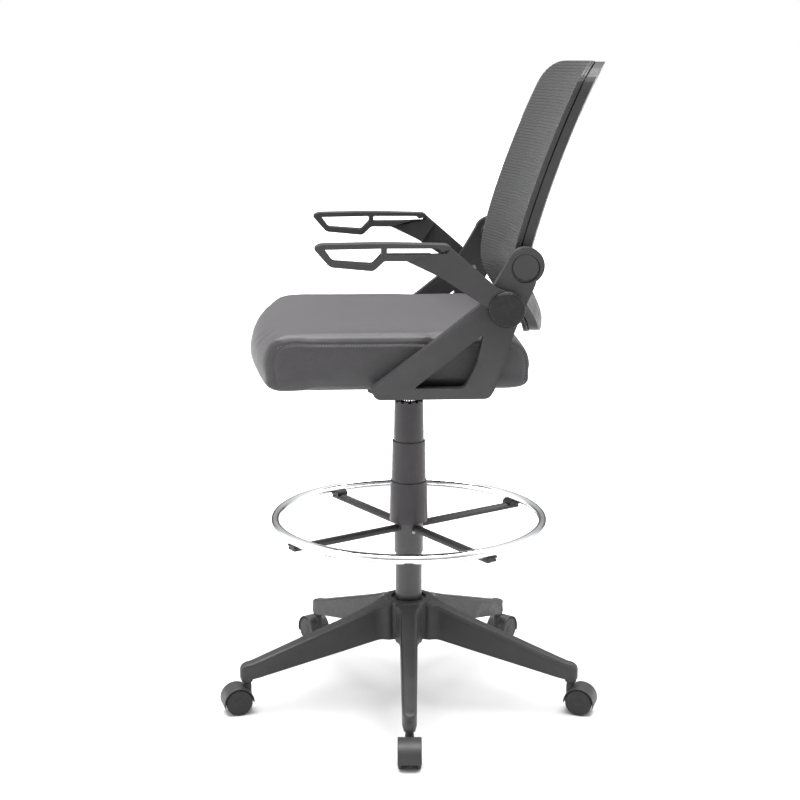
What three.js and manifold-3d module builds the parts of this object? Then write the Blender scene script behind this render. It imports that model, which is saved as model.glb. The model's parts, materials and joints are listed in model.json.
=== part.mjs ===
// A drafting chair: five-legged base on twin-wheel casters, gas lift with telescopic
// covers, foot ring, padded seat, flip-up arms and a curved mesh back.
// Millimetres, +Z up. The sitter faces -Y, and the sitter's left is +X.

import * as THREE from "three";
import { mergeVertices } from "three/addons/utils/BufferGeometryUtils.js";
import Module from "manifold-3d";

const wasm = await Module();
wasm.setup();

// ---------------------------------------------------------------- driving dimensions

const GAP = 0.3; // between two pieces that touch
const RUNNING = 0.5; // between two pieces that slide or turn
const PLAY = 1.2; // between a wheel and its hood

// The lift column stands here, so that the origin is under the middle of the whole chair.
const COLUMN_X = -23.4;
const COLUMN_Y = 5.3;

// Base and casters
const LEGS = 5;
const BASE_TURN = -3.3; // degrees from +X to the first leg
const HUB_RADIUS = 48;
const HUB_TOP = 192;
const HUB_BOTTOM = 116;
const HUB_RECESS = 8; // width of the dark ring round the tube
const LEG_REACH = 316; // column axis to caster stem
const LEG_ROOT_WIDTH = 34;
const LEG_TIP_WIDTH = 25.5;
const LEG_TIP_HEIGHT = 36;
const LEG_TIP_ROOM = 5.6; // between a caster hood's top and the leg
const LEG_WALL = 4;
const WHEEL_RADIUS = 25;
const WHEEL_WIDTH = 9.4;
const WHEEL_FACE = 20.4; // caster's middle plane to a wheel's outer face
const CASTER_TRAIL = 19; // stem to wheel axle
const HOOD_WALL = 2.2;
const HOOD_HALF_WIDTH = WHEEL_FACE + 0.4;
const HOOD_WEB = 9;
const NECK_RADIUS = 8;
const NECK_ROOM = 1.5; // between a caster neck and the leg
const STEM_RADIUS = 5.5;
const STEM_DEPTH = 23; // how far a caster stem goes up into the leg
const AXLE_RADIUS = 3;

// Gas lift and its telescopic covers
const TUBE_RADIUS = 25;
const TUBE_WALL = 2;
const TUBE_BOTTOM = 112;
const TUBE_TOP = 408;
const CYLINDER_RADIUS = 14;
const CYLINDER_WALL = 3;
const CYLINDER_BOTTOM = 300;
const CYLINDER_LENGTH = 312;
const SPINDLE_RADIUS = 5;
const SPINDLE_TOP = 430;
const SLEEVE_WALL = 1.4;
const SLEEVE_OVERLAP = 10;
const SLEEVE_TAPER = 1.6; // how much wider a cover is at its foot
const SLEEVE_CLEARANCE = 0.8; // between a cover and the foot of the one inside it
const SLEEVE_NOTCHES = 8;
const SLEEVE_SHOWING = 77; // height of a cover above the one below it

// Foot ring
const RING_RADIUS = 251;
const RING_TUBE = 9;
const RING_HEIGHT = 346;
const SPOKES = 4;
const SPOKE_TURN = 31; // degrees from +X to the first spoke
const SPOKE_WIDTH = 21;
const SPOKE_THICK = 9.4;
const COLLAR_WALL = 2;
const COLLAR_TOP = 342.4;
const COLLAR_BOTTOM = 281;
const CLAMP_KNOB_RADIUS = 14;

// Tilt mechanism under the seat
const SOCKET_TOP = 612; // height at which the seat pieces are drawn, at the cylinder's top
const MECHANISM_HALF_WIDTH = 55;
const MECHANISM_HALF_LENGTH = 78;
const SHEET_STEEL = 3;
const SOCKET_WALL = 8;
const TILT_PIN_Y = -62;
const TILT_PIN_Z = 620;
const TILT_PIN_RADIUS = 5;
const PLATE_HALF = 95;
const LEVER_Y = -30;
const LEVER_Z = 608;
const LEVER_RADIUS = 4.5;
const LEVER_REACH = 183;

// Seat
const BOARD_BOTTOM = 641;
const BOARD_THICK = 12;
const SEAT_HALF_WIDTH = 243;
const SEAT_FRONT = -285;
const SEAT_BACK = 187;
const SEAT_TOP = 741;
const SEAT_CORNER = 62;

// Side brackets and arms
const SEAT_SIDE_ROOM = 5; // between the cushion and a bracket
const BRACKET_THICK = 21;
const FOOT_REACH = 58; // how far a bracket's foot goes in under the board
const FOOT_BOTTOM = 631;
const PIVOT_Y = 143.8;
const PIVOT_Z = 784.4;
const PIVOT_PIN_RADIUS = 6;
const PIVOT_CAP_RADIUS = 30.5;
const PIVOT_CAP_THICK = 5.5;
const BOSS_Y = 177;
const BOSS_Z = 855;
const BOSS_RADIUS = 30.5;
const LUG_RADIUS = 20;
const BOSS_CAP_RADIUS = 24;
const BOSS_CAP_THICK = 4;
const ARM_PLATE_THICK = 13.5;
const ARM_PAD_WIDTH = 30;
const ARM_PAD_TOP = 894;
const ARM_BAR = 7; // thickness of the pad's top bar

// Back
const BACK_SIDE_ROOM = 19; // between the back and a bracket's inner face
const BACK_TOP = 1186;
const BACK_BOTTOM = 714;
const BACK_TAIL_HALF_WIDTH = 104;
const BACK_CORNER = 84;
const BACK_SEEN_FROM = 905; // height at which the edge's place and slope are given
const BACK_EDGE_Y = 170;
const BACK_SLOPE = 0.285;
const BACK_CURL = 0.00033;
const BACK_HOLLOW = 34; // how far the middle lies behind the edges
const TAIL_HOLLOW = 86; // the same at the tail
const TAIL_FROM = 830;
const TAIL_TO = 720;
const CARRIER_THICK = 8;
const CARRIER_WIDTH = 16;
const FRAME_THICK = 16;
const FRAME_WIDTH = 24;
const FRAME_GROOVE = 2.5;
const FRAME_FOOT = 62; // height of the shell at the frame's foot
const MESH_THICK = 2.5;

const ROUND = 20; // sides of a turned part
const SMALL_ROUND = 10; // sides of a pin or a small hole
const WHEEL_SIDES = 20;

// ---------------------------------------------------------------- sizes that follow

const HOOD_INNER = WHEEL_RADIUS + PLAY;
const HOOD_OUTER = HOOD_INNER + HOOD_WALL;
const LEG_TIP_BOTTOM = WHEEL_RADIUS + HOOD_OUTER + LEG_TIP_ROOM;
const LEG_TIP_TOP = LEG_TIP_BOTTOM + LEG_TIP_HEIGHT;
const STEM_TOP = LEG_TIP_BOTTOM + STEM_DEPTH;
const STEM_BOTTOM = WHEEL_RADIUS + 5;
const UPPER_SLEEVE_RADIUS = TUBE_RADIUS + GAP + SLEEVE_WALL;
const CYLINDER_TOP = CYLINDER_BOTTOM + CYLINDER_LENGTH;
const MECHANISM_BOTTOM = SOCKET_TOP - 20;
const SLEEVE_STEP = SLEEVE_TAPER + SLEEVE_CLEARANCE + SLEEVE_WALL;
const MIDDLE_SLEEVE_RADIUS = UPPER_SLEEVE_RADIUS + SLEEVE_STEP;
const LOWER_SLEEVE_RADIUS = MIDDLE_SLEEVE_RADIUS + SLEEVE_STEP;
const SLEEVE_LENGTH = SLEEVE_SHOWING + SLEEVE_OVERLAP;
const LOWER_SLEEVE_BOTTOM = COLLAR_TOP + GAP;
const MIDDLE_SLEEVE_BOTTOM = LOWER_SLEEVE_BOTTOM + SLEEVE_SHOWING - SLEEVE_OVERLAP;
const UPPER_SLEEVE_BOTTOM = MIDDLE_SLEEVE_BOTTOM + SLEEVE_SHOWING;
const SPOKE_TOP = RING_HEIGHT - RING_TUBE - GAP;
const COLLAR_RADIUS = TUBE_RADIUS + GAP + COLLAR_WALL;
const PLATE_TOP = BOARD_BOTTOM - GAP;
const PLATE_BOTTOM = PLATE_TOP - SHEET_STEEL;
const BRACKET_INNER = SEAT_HALF_WIDTH + SEAT_SIDE_ROOM;
const BRACKET_OUTER = BRACKET_INNER + BRACKET_THICK;
const BACK_HALF_WIDTH = BRACKET_INNER - BACK_SIDE_ROOM;
const ARM_INNER = BRACKET_OUTER + RUNNING;
const ARM_OUTER = ARM_INNER + ARM_PLATE_THICK;
const FRAME_FRONT = CARRIER_THICK + FRAME_GROOVE;

// ---------------------------------------------------------------- materials

function finish(color, roughness, metalness = 0) {
  return new THREE.MeshStandardMaterial({ color, roughness, metalness });
}

const BLACK_NYLON = finish(0x2b2a2b, 0.55);
const BLACK_PLASTIC = finish(0x343334, 0.5);
const CAP_PLASTIC = finish(0x1c1c1d, 0.4);
const SLEEVE_PLASTIC = finish(0x353234, 0.45);
const COATED_STEEL = finish(0x2f2e2f, 0.45, 0.3);
const CHROME = finish(0xdcdcdc, 0.12, 1);
const BARE_STEEL = finish(0x9a9a98, 0.35, 1);
const PLYWOOD = finish(0x8a6f4c, 0.8);
const LEATHERETTE = finish(0x3f3d3f, 0.55);
const MESH_FABRIC = finish(0x4a4a4b, 0.85);

// ---------------------------------------------------------------- making solids

// Turns a closed geometry into a solid, whichever way its faces were wound.
function solidOf(geometry) {
  const bare = geometry.clone();
  bare.deleteAttribute("normal");
  bare.deleteAttribute("uv");
  const merged = mergeVertices(bare, 1e-4);
  const points = merged.attributes.position;
  const corner = (i) => new THREE.Vector3().fromBufferAttribute(points, i);
  const triangles = [];
  let volume = 0;
  for (let i = 0; i < merged.index.count; i += 3) {
    const [a, b, c] = [0, 1, 2].map((k) => merged.index.getX(i + k));
    if (a !== b && b !== c && c !== a) {
      triangles.push([a, b, c]);
      volume += corner(a).dot(corner(b).cross(corner(c)));
    }
  }
  if (volume < 0) {
    triangles.forEach((triangle) => triangle.reverse());
  }
  return new wasm.Manifold(new wasm.Mesh({
    numProp: 3,
    vertProperties: Float32Array.from(points.array),
    triVerts: Uint32Array.from(triangles.flat()),
  }));
}

function geometryOf(solid) {
  const mesh = solid.getMesh();
  const geometry = new THREE.BufferGeometry();
  geometry.setAttribute("position", new THREE.BufferAttribute(mesh.vertProperties, 3));
  geometry.setIndex(new THREE.BufferAttribute(mesh.triVerts, 1));
  geometry.computeVertexNormals();
  return geometry;
}

function joined(solids) {
  return solids.reduce((whole, solid) => whole.add(solid));
}

function cut(solid, tools) {
  return tools.reduce((left, tool) => left.subtract(tool), solid);
}

// An outline whose corners are [x, y] or [x, y, rounding].
function outline(corners) {
  const shape = new THREE.Shape();
  corners.forEach(([x, y, rounding = 0], i) => {
    const corner = new THREE.Vector2(x, y);
    const from = cornerStart(corner, corners.at(i - 1), rounding);
    const to = cornerStart(corner, corners[(i + 1) % corners.length], rounding);
    if (i === 0) {
      shape.moveTo(from.x, from.y);
    } else {
      shape.lineTo(from.x, from.y);
    }
    if (rounding > 0) {
      shape.quadraticCurveTo(x, y, to.x, to.y);
    }
  });
  shape.closePath();
  return shape;
}

function cornerStart(corner, neighbour, rounding) {
  const along = new THREE.Vector2(neighbour[0], neighbour[1]).sub(corner);
  return corner.clone().add(along.setLength(Math.min(rounding, along.length() * 0.49)));
}

function disc(x, y, radius, sides = ROUND) {
  const shape = new THREE.Shape();
  for (let i = 0; i < sides; i++) {
    const angle = (2 * Math.PI * (i + 0.5)) / sides;
    const [px, py] = [x + radius * Math.cos(angle), y + radius * Math.sin(angle)];
    if (i === 0) {
      shape.moveTo(px, py);
    } else {
      shape.lineTo(px, py);
    }
  }
  shape.closePath();
  return shape;
}

function extruded(shape, low, high, basis, curveSegments = 3) {
  const options = { depth: high - low, bevelEnabled: false, curveSegments };
  const geometry = new THREE.ExtrudeGeometry(shape, options).translate(0, 0, low);
  return geometry.applyMatrix4(new THREE.Matrix4().makeBasis(...basis));
}

const AXIS_X = new THREE.Vector3(1, 0, 0);
const AXIS_Y = new THREE.Vector3(0, 1, 0);
const AXIS_Z = new THREE.Vector3(0, 0, 1);

// A shape drawn in X and Y, between two heights.
function upright(shape, low, high) {
  return solidOf(extruded(shape, low, high, [AXIS_X, AXIS_Y, AXIS_Z]));
}

// A shape drawn in Y and Z, between two X positions given in either order.
function sideways(shape, one, other) {
  const [low, high] = [Math.min(one, other), Math.max(one, other)];
  return solidOf(extruded(shape, low, high, [AXIS_Y, AXIS_Z, AXIS_X]));
}

// A shape drawn in X and Z, between two Y positions.
function lengthways(shape, low, high) {
  const basis = [AXIS_X, AXIS_Z, AXIS_Y.clone().negate()];
  return solidOf(extruded(shape, -high, -low, basis));
}

// A closed profile of [radius, height] turned round the Z axis.
function turned(profile, sides = ROUND) {
  const points = profile.map(([radius, height]) => new THREE.Vector2(radius, height));
  return solidOf(new THREE.LatheGeometry(points, sides).rotateX(Math.PI / 2));
}

function ring(inner, outer, low, high, sides = ROUND) {
  return turned([[inner, low], [outer, low], [outer, high], [inner, high], [inner, low]], sides);
}

// A plain round pole on the Z axis.
function pole(radius, low, high, sides = ROUND) {
  return turned([[0, low], [radius, low], [radius, high], [0, high]], sides);
}

function block(x0, x1, y0, y1, z0, z1) {
  return upright(outline([[x0, y0], [x1, y0], [x1, y1], [x0, y1]]), z0, z1);
}

function named(name, solid, material) {
  const mesh = new THREE.Mesh(geometryOf(solid), material);
  mesh.name = name;
  return mesh;
}

function turnedBy(degrees, ...pieces) {
  const group = new THREE.Group();
  group.rotation.z = THREE.MathUtils.degToRad(degrees);
  group.add(...pieces);
  return group;
}

// ---------------------------------------------------------------- base and casters

function leg() {
  const end = LEG_REACH + LEG_TIP_WIDTH / 2;
  const side = outline([
    [20, HUB_BOTTOM + 1],
    [HUB_RADIUS + 14, HUB_BOTTOM + 1, 8],
    [LEG_REACH - 13, LEG_TIP_BOTTOM + 7],
    [LEG_REACH - 12, LEG_TIP_BOTTOM],
    [end, LEG_TIP_BOTTOM],
    [end, LEG_TIP_TOP - 8, 8],
    [LEG_REACH - 6, LEG_TIP_TOP, 4],
    [HUB_RADIUS * 2.5, HUB_TOP - 32, 20],
    [HUB_RADIUS, HUB_TOP - 4, 4],
    [20, HUB_TOP - 4],
  ]);
  const [root, tip] = [LEG_ROOT_WIDTH / 2, LEG_TIP_WIDTH / 2];
  const plan = outline([
    [20, -root],
    [end, -tip, tip],
    [end, tip, tip],
    [20, root],
  ]);
  const body = lengthways(side, -root, root).intersect(upright(plan, 0, HUB_TOP));
  const stemHole = pole(STEM_RADIUS + GAP, 0, STEM_TOP + GAP, SMALL_ROUND);
  return { body, stemHole };
}

// The leg is open below: three pockets with ribs between them.
function legPockets() {
  const inside = LEG_TIP_WIDTH / 2 - LEG_WALL;
  const [first, last] = [HUB_RADIUS + 20, LEG_REACH - 26];
  const length = (last - first) / 3;
  return [0, 1, 2].map((i) => {
    const start = first + i * length + LEG_WALL / 2;
    const end = first + (i + 1) * length - LEG_WALL / 2;
    const profile = outline([
      [start, 40],
      [end, 40],
      [end, legTopAt(end) - LEG_WALL * 2],
      [start, legTopAt(start) - LEG_WALL * 2],
    ]);
    return lengthways(profile, -inside, inside);
  });
}

function legTopAt(r) {
  const bend = HUB_RADIUS * 2.5;
  if (r < bend) {
    return THREE.MathUtils.mapLinear(r, HUB_RADIUS, bend, HUB_TOP - 4, HUB_TOP - 32);
  }
  return THREE.MathUtils.mapLinear(r, bend, LEG_REACH - 6, HUB_TOP - 32, LEG_TIP_TOP);
}

function placed(solid, degrees, x = 0, y = 0) {
  const matrix = new THREE.Matrix4().makeRotationZ(THREE.MathUtils.degToRad(degrees));
  return solidOf(geometryOf(solid).translate(x, y, 0).applyMatrix4(matrix));
}

function baseStar() {
  const bore = TUBE_RADIUS + GAP;
  const recess = bore + HUB_RECESS;
  const hub = turned([
    [bore, HUB_BOTTOM],
    [HUB_RADIUS - 5, HUB_BOTTOM],
    [HUB_RADIUS, HUB_BOTTOM + 5],
    [HUB_RADIUS, HUB_TOP - 5],
    [HUB_RADIUS - 6, HUB_TOP],
    [recess, HUB_TOP],
    [recess, HUB_TOP - 5],
    [bore, HUB_TOP - 5],
    [bore, HUB_BOTTOM],
  ], 30);
  const angles = [...Array(LEGS).keys()].map((i) => (360 / LEGS) * i);
  const { body, stemHole } = leg();
  const legs = angles.map((angle) => placed(body, angle));
  const holes = angles.map((angle) => placed(stemHole, angle, LEG_REACH));
  const pockets = angles.flatMap((angle) => legPockets().map((pocket) => placed(pocket, angle)));
  const well = pole(bore, 0, HUB_TOP + 10);
  const star = cut(joined([hub, ...legs]), [well, ...holes, ...pockets]);
  return turnedBy(BASE_TURN, named("base_star", star, BLACK_NYLON));
}

// A disc round the wheel axle, drawn in X and Z, between two Y positions.
function axleDisc(radius, low, high, sides = WHEEL_SIDES) {
  return lengthways(disc(CASTER_TRAIL, WHEEL_RADIUS, radius, sides), low, high);
}

// Wheels have flat-sided rims with one flat at the bottom, so they stand on it.
function wheel(side) {
  const rim = WHEEL_RADIUS / Math.cos(Math.PI / WHEEL_SIDES);
  const [inner, outer] = [WHEEL_FACE - WHEEL_WIDTH, WHEEL_FACE];
  const between = (radius, near, far, sides) =>
    axleDisc(radius, Math.min(side * near, side * far), Math.max(side * near, side * far), sides);
  const tyre = between(rim, inner, outer);
  const hub = between(7, 6, inner + 0.1, SMALL_ROUND);
  const bore = between(AXLE_RADIUS + GAP, 0, outer - 3, SMALL_ROUND);
  return cut(joined([tyre, hub]), [bore]);
}

function casterHood() {
  const halfWidth = HOOD_HALF_WIDTH;
  const fender = axleDisc(HOOD_OUTER, -halfWidth, halfWidth);
  const wheelRoom = axleDisc(HOOD_INNER, -halfWidth - 1, halfWidth + 1);
  const below = lengthways(outline([
    [CASTER_TRAIL - 40, WHEEL_RADIUS - 1],
    [CASTER_TRAIL, WHEEL_RADIUS - 1],
    [CASTER_TRAIL + 40, WHEEL_RADIUS - 16],
    [CASTER_TRAIL + 40, -40],
    [CASTER_TRAIL - 40, -40],
  ]), -halfWidth - 2, halfWidth + 2);
  const shell = cut(fender, [wheelRoom, below]);
  const web = axleDisc(HOOD_OUTER - 1, -HOOD_WEB / 2, HOOD_WEB / 2).intersect(lengthways(outline([
    [CASTER_TRAIL - 40, WHEEL_RADIUS - 6],
    [CASTER_TRAIL + 24, WHEEL_RADIUS - 6],
    [CASTER_TRAIL + 40, WHEEL_RADIUS],
    [CASTER_TRAIL + 40, 90],
    [CASTER_TRAIL - 40, 90],
  ]), -10, 10));
  const [neckFoot, neckTop] = [WHEEL_RADIUS + 1, LEG_TIP_BOTTOM - NECK_ROOM];
  const neck = turned([
    [0, neckFoot],
    [NECK_RADIUS, neckFoot],
    [NECK_RADIUS, neckTop - 1],
    [NECK_RADIUS - 1, neckTop],
    [0, neckTop],
  ], 12);
  const bore = pole(STEM_RADIUS + GAP, WHEEL_RADIUS - 5, STEM_TOP, SMALL_ROUND);
  const axleHole = axleDisc(AXLE_RADIUS + GAP, -10, 10, SMALL_ROUND);
  return cut(joined([shell, web, neck]), [bore, axleHole]);
}

function casterStem() {
  return turned([
    [0, STEM_BOTTOM],
    [STEM_RADIUS, STEM_BOTTOM],
    [STEM_RADIUS, STEM_TOP - 2],
    [STEM_RADIUS - 1.5, STEM_TOP],
    [0, STEM_TOP],
  ], SMALL_ROUND);
}

function casterAxle() {
  const half = WHEEL_FACE - 3.5;
  return axleDisc(AXLE_RADIUS, -half, half, SMALL_ROUND);
}

function caster(number) {
  const group = new THREE.Group();
  group.position.x = LEG_REACH;
  group.add(
    named(`caster_stem_${number}`, casterStem(), BARE_STEEL),
    named(`caster_hood_${number}`, casterHood(), BLACK_PLASTIC),
    named(`caster_axle_${number}`, casterAxle(), BARE_STEEL),
    named(`caster_wheel_${number}_a`, wheel(1), CAP_PLASTIC),
    named(`caster_wheel_${number}_b`, wheel(-1), CAP_PLASTIC),
  );
  return turnedBy(BASE_TURN + (360 / LEGS) * (number - 1), group);
}

// ---------------------------------------------------------------- gas lift

function gasLiftTube() {
  const floor = TUBE_BOTTOM + 4;
  const hole = SPINDLE_RADIUS - 1;
  const inside = TUBE_RADIUS - TUBE_WALL;
  return turned([
    [hole, TUBE_BOTTOM],
    [TUBE_RADIUS, TUBE_BOTTOM],
    [TUBE_RADIUS, TUBE_TOP],
    [inside, TUBE_TOP],
    [inside, floor],
    [hole, floor],
    [hole, TUBE_BOTTOM],
  ]);
}

// Plastic bush that guides the cylinder at the mouth of the tube.
function guideBush() {
  const inside = TUBE_RADIUS - TUBE_WALL - GAP;
  const bore = CYLINDER_RADIUS + GAP;
  const low = TUBE_TOP - 80;
  return turned([
    [bore, low],
    [inside, low],
    [inside, TUBE_TOP + GAP],
    [TUBE_RADIUS - GAP, TUBE_TOP + GAP],
    [TUBE_RADIUS - 1.5, TUBE_TOP + 3.3],
    [bore, TUBE_TOP + 3.3],
    [bore, low],
  ]);
}

function pistonSpindle() {
  const foot = TUBE_BOTTOM + 4 + GAP;
  const head = CYLINDER_RADIUS - CYLINDER_WALL - RUNNING;
  return turned([
    [0, TUBE_BOTTOM - 3],
    [SPINDLE_RADIUS - 1 - GAP, TUBE_BOTTOM - 3],
    [SPINDLE_RADIUS - 1 - GAP, foot],
    [SPINDLE_RADIUS + 4, foot],
    [SPINDLE_RADIUS + 4, foot + 5],
    [SPINDLE_RADIUS, foot + 5],
    [SPINDLE_RADIUS, SPINDLE_TOP - 10],
    [head, SPINDLE_TOP - 10],
    [head, SPINDLE_TOP],
    [0, SPINDLE_TOP],
  ], SMALL_ROUND);
}

function gasCylinder() {
  const inside = CYLINDER_RADIUS - CYLINDER_WALL;
  return turned([
    [0, CYLINDER_TOP],
    [CYLINDER_RADIUS - 0.8, CYLINDER_TOP],
    [CYLINDER_RADIUS, CYLINDER_TOP - 16],
    [CYLINDER_RADIUS, CYLINDER_BOTTOM],
    [SPINDLE_RADIUS + GAP, CYLINDER_BOTTOM],
    [SPINDLE_RADIUS + GAP, CYLINDER_BOTTOM + 10],
    [inside, CYLINDER_BOTTOM + 10],
    [inside, CYLINDER_TOP - 12],
    [0, CYLINDER_TOP - 12],
  ]);
}

function sleeve(low, radius) {
  const high = low + SLEEVE_LENGTH;
  const foot = radius + SLEEVE_TAPER;
  return turned([
    [foot - SLEEVE_WALL, low],
    [foot, low],
    [radius + 0.1, high - 1],
    [radius - 0.5, high],
    [radius - SLEEVE_WALL, high],
    [foot - SLEEVE_WALL, low],
  ]);
}

// The upper cover's rim is notched, like the crown of a castle.
function upperSleeve() {
  const high = UPPER_SLEEVE_BOTTOM + SLEEVE_LENGTH;
  const notch = block(UPPER_SLEEVE_RADIUS - 4, UPPER_SLEEVE_RADIUS + 2, -3, 3, high - 3, high + 1);
  const notches = [...Array(SLEEVE_NOTCHES).keys()].map((i) => placed(notch, (360 / SLEEVE_NOTCHES) * i));
  return cut(sleeve(UPPER_SLEEVE_BOTTOM, UPPER_SLEEVE_RADIUS), notches);
}

// The lower cover stands on an inward lip that grips the tube.
function lowerSleeve() {
  const low = LOWER_SLEEVE_BOTTOM;
  const high = low + SLEEVE_SHOWING;
  const foot = LOWER_SLEEVE_RADIUS + SLEEVE_TAPER;
  return turned([
    [TUBE_RADIUS + GAP, low],
    [foot, low],
    [LOWER_SLEEVE_RADIUS + 0.1, high - 1],
    [LOWER_SLEEVE_RADIUS - 0.5, high],
    [LOWER_SLEEVE_RADIUS - SLEEVE_WALL, high],
    [foot - SLEEVE_WALL, low + 2],
    [TUBE_RADIUS + GAP, low + 2],
    [TUBE_RADIUS + GAP, low],
  ]);
}

function liftColumn() {
  return [
    named("gas_lift_tube", gasLiftTube(), COATED_STEEL),
    named("gas_lift_guide_bush", guideBush(), BLACK_PLASTIC),
    named("gas_lift_spindle", pistonSpindle(), BARE_STEEL),
    named("gas_lift_cylinder", gasCylinder(), CHROME),
    named("lower_cover_sleeve", lowerSleeve(), SLEEVE_PLASTIC),
    named("middle_cover_sleeve", sleeve(MIDDLE_SLEEVE_BOTTOM, MIDDLE_SLEEVE_RADIUS), SLEEVE_PLASTIC),
    named("upper_cover_sleeve", upperSleeve(), SLEEVE_PLASTIC),
  ];
}

// ---------------------------------------------------------------- foot ring

function footRingTube() {
  const sides = 10;
  const profile = [...Array(sides + 1).keys()].map((i) => {
    const angle = (2 * Math.PI * (i + 0.5)) / sides;
    return [RING_RADIUS + RING_TUBE * Math.cos(angle), RING_HEIGHT + RING_TUBE * Math.sin(angle)];
  });
  return turned(profile, 48);
}

function footRingSpoke() {
  const [start, end] = [COLLAR_RADIUS + GAP, RING_RADIUS + RING_TUBE + 2];
  const half = SPOKE_WIDTH / 2;
  const plan = outline([[start, -half], [end, -half, 5], [end, half, 5], [start, half]]);
  const bar = upright(plan, SPOKE_TOP - SPOKE_THICK, SPOKE_TOP);
  const room = pole(start, SPOKE_TOP - SPOKE_THICK - 1, SPOKE_TOP + 1);
  return bar.subtract(room);
}

// The collar slides on the tube, and its knob clamps it on the side away from +X.
function footRingCollar() {
  const collar = ring(TUBE_RADIUS + GAP, COLLAR_RADIUS, COLLAR_BOTTOM, COLLAR_TOP);
  const height = COLLAR_BOTTOM + 20;
  const boss = sideways(disc(0, height, 8, SMALL_ROUND), -COLLAR_RADIUS - 6, -TUBE_RADIUS - 1);
  const well = pole(TUBE_RADIUS + GAP, COLLAR_BOTTOM - 1, COLLAR_TOP + 1);
  const hole = sideways(disc(0, height, 3.5, SMALL_ROUND), -COLLAR_RADIUS - 10, 0);
  return cut(collar.add(boss), [well, hole]);
}

function clampKnob() {
  const height = COLLAR_BOTTOM + 20;
  const start = -COLLAR_RADIUS - 6 - RUNNING;
  const grip = sideways(disc(0, height, CLAMP_KNOB_RADIUS), start - 16, start);
  const lobe = sideways(disc(0, height + CLAMP_KNOB_RADIUS + 1.5, 3, 10), start - 20, start + 4);
  const screw = sideways(disc(0, height, 3.1, SMALL_ROUND), start - 1, -TUBE_RADIUS - GAP);
  const flutes = [0, 60, 120, 180, 240, 300].map((angle) => {
    const matrix = new THREE.Matrix4().makeTranslation(0, 0, height);
    matrix.multiply(new THREE.Matrix4().makeRotationX(THREE.MathUtils.degToRad(angle)));
    matrix.multiply(new THREE.Matrix4().makeTranslation(0, 0, -height));
    return solidOf(geometryOf(lobe).applyMatrix4(matrix));
  });
  return cut(grip, flutes).add(screw);
}

function footRing() {
  const spokes = [...Array(SPOKES).keys()].map((i) =>
    turnedBy(SPOKE_TURN + (360 / SPOKES) * i,
      named(`foot_ring_spoke_${i + 1}`, footRingSpoke(), BLACK_PLASTIC)));
  return [
    named("foot_ring_tube", footRingTube(), CHROME),
    named("foot_ring_collar", footRingCollar(), COATED_STEEL),
    named("foot_ring_clamp_knob", clampKnob(), BLACK_PLASTIC),
    ...spokes,
  ];
}

// ---------------------------------------------------------------- tilt mechanism

// A pressed steel tray, higher in front, with a taper socket for the gas cylinder.
function mechanismHousing() {
  const [half, end, low] = [MECHANISM_HALF_WIDTH, MECHANISM_HALF_LENGTH, MECHANISM_BOTTOM];
  const wall = SHEET_STEEL;
  const tray = sideways(outline([
    [-end, low + 8],
    [-end + 18, low],
    [end - 18, low],
    [end, low + 8],
    [end, low + 14],
    [TILT_PIN_Y + 12, TILT_PIN_Z + 9],
    [-end, TILT_PIN_Z + 9],
  ]), -half, half);
  const inside = sideways(outline([
    [-end + wall, low + 8 + wall],
    [-end + 18 + wall, low + wall],
    [end - 18 - wall, low + wall],
    [end - wall, low + 8 + wall],
    [end - wall, low + 90],
    [-end + wall, low + 90],
  ]), -half + wall, half - wall);
  const socket = ring(CYLINDER_RADIUS + GAP, CYLINDER_RADIUS + SOCKET_WALL, low - 2, SOCKET_TOP + 3);
  const well = pole(CYLINDER_RADIUS + GAP, low - 20, low + 60);
  const pinCircle = disc(TILT_PIN_Y, TILT_PIN_Z, TILT_PIN_RADIUS + GAP, SMALL_ROUND);
  const pinHole = sideways(pinCircle, -half - 1, half + 1);
  const leverSlot = block(-half - 1, -half + wall + 1, LEVER_Y - 8, LEVER_Y + 8, LEVER_Z - 9, LEVER_Z + 9);
  const knobHole = lengthways(disc(0, LEVER_Z + 4, 4.5, SMALL_ROUND), -end - 1, -end + wall + 1);
  return cut(cut(tray, [inside]).add(socket), [well, pinHole, leverSlot, knobHole]);
}

// The plate is bolted under the seat and rocks on the tilt pin.
function seatPlate() {
  const plate = upright(outline([
    [-PLATE_HALF, -PLATE_HALF, 12],
    [PLATE_HALF, -PLATE_HALF, 12],
    [PLATE_HALF, PLATE_HALF, 12],
    [-PLATE_HALF, PLATE_HALF, 12],
  ]), PLATE_BOTTOM, PLATE_TOP);
  const start = MECHANISM_HALF_WIDTH + 1;
  const ear = outline([
    [TILT_PIN_Y - 18, PLATE_TOP - 1],
    [TILT_PIN_Y - 11, TILT_PIN_Z - 11, 8],
    [TILT_PIN_Y + 11, TILT_PIN_Z - 11, 8],
    [TILT_PIN_Y + 18, PLATE_TOP - 1],
  ]);
  const ears = [-1, 1].map((side) => sideways(ear, side * start, side * (start + SHEET_STEEL)));
  const hole = sideways(disc(TILT_PIN_Y, TILT_PIN_Z, TILT_PIN_RADIUS + GAP, SMALL_ROUND), -80, 80);
  return cut(joined([plate, ...ears]), [hole]);
}

function tiltPin() {
  const half = MECHANISM_HALF_WIDTH + SHEET_STEEL + 5;
  return sideways(disc(TILT_PIN_Y, TILT_PIN_Z, TILT_PIN_RADIUS, SMALL_ROUND), -half, half);
}

function tensionKnob() {
  const front = -MECHANISM_HALF_LENGTH;
  const height = LEVER_Z + 4;
  const grip = lengthways(disc(0, height, 12, 12), front - 34, front - 4);
  const screw = lengthways(disc(0, height, 4, SMALL_ROUND), front - 5, front + 8);
  return grip.add(screw);
}

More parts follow.
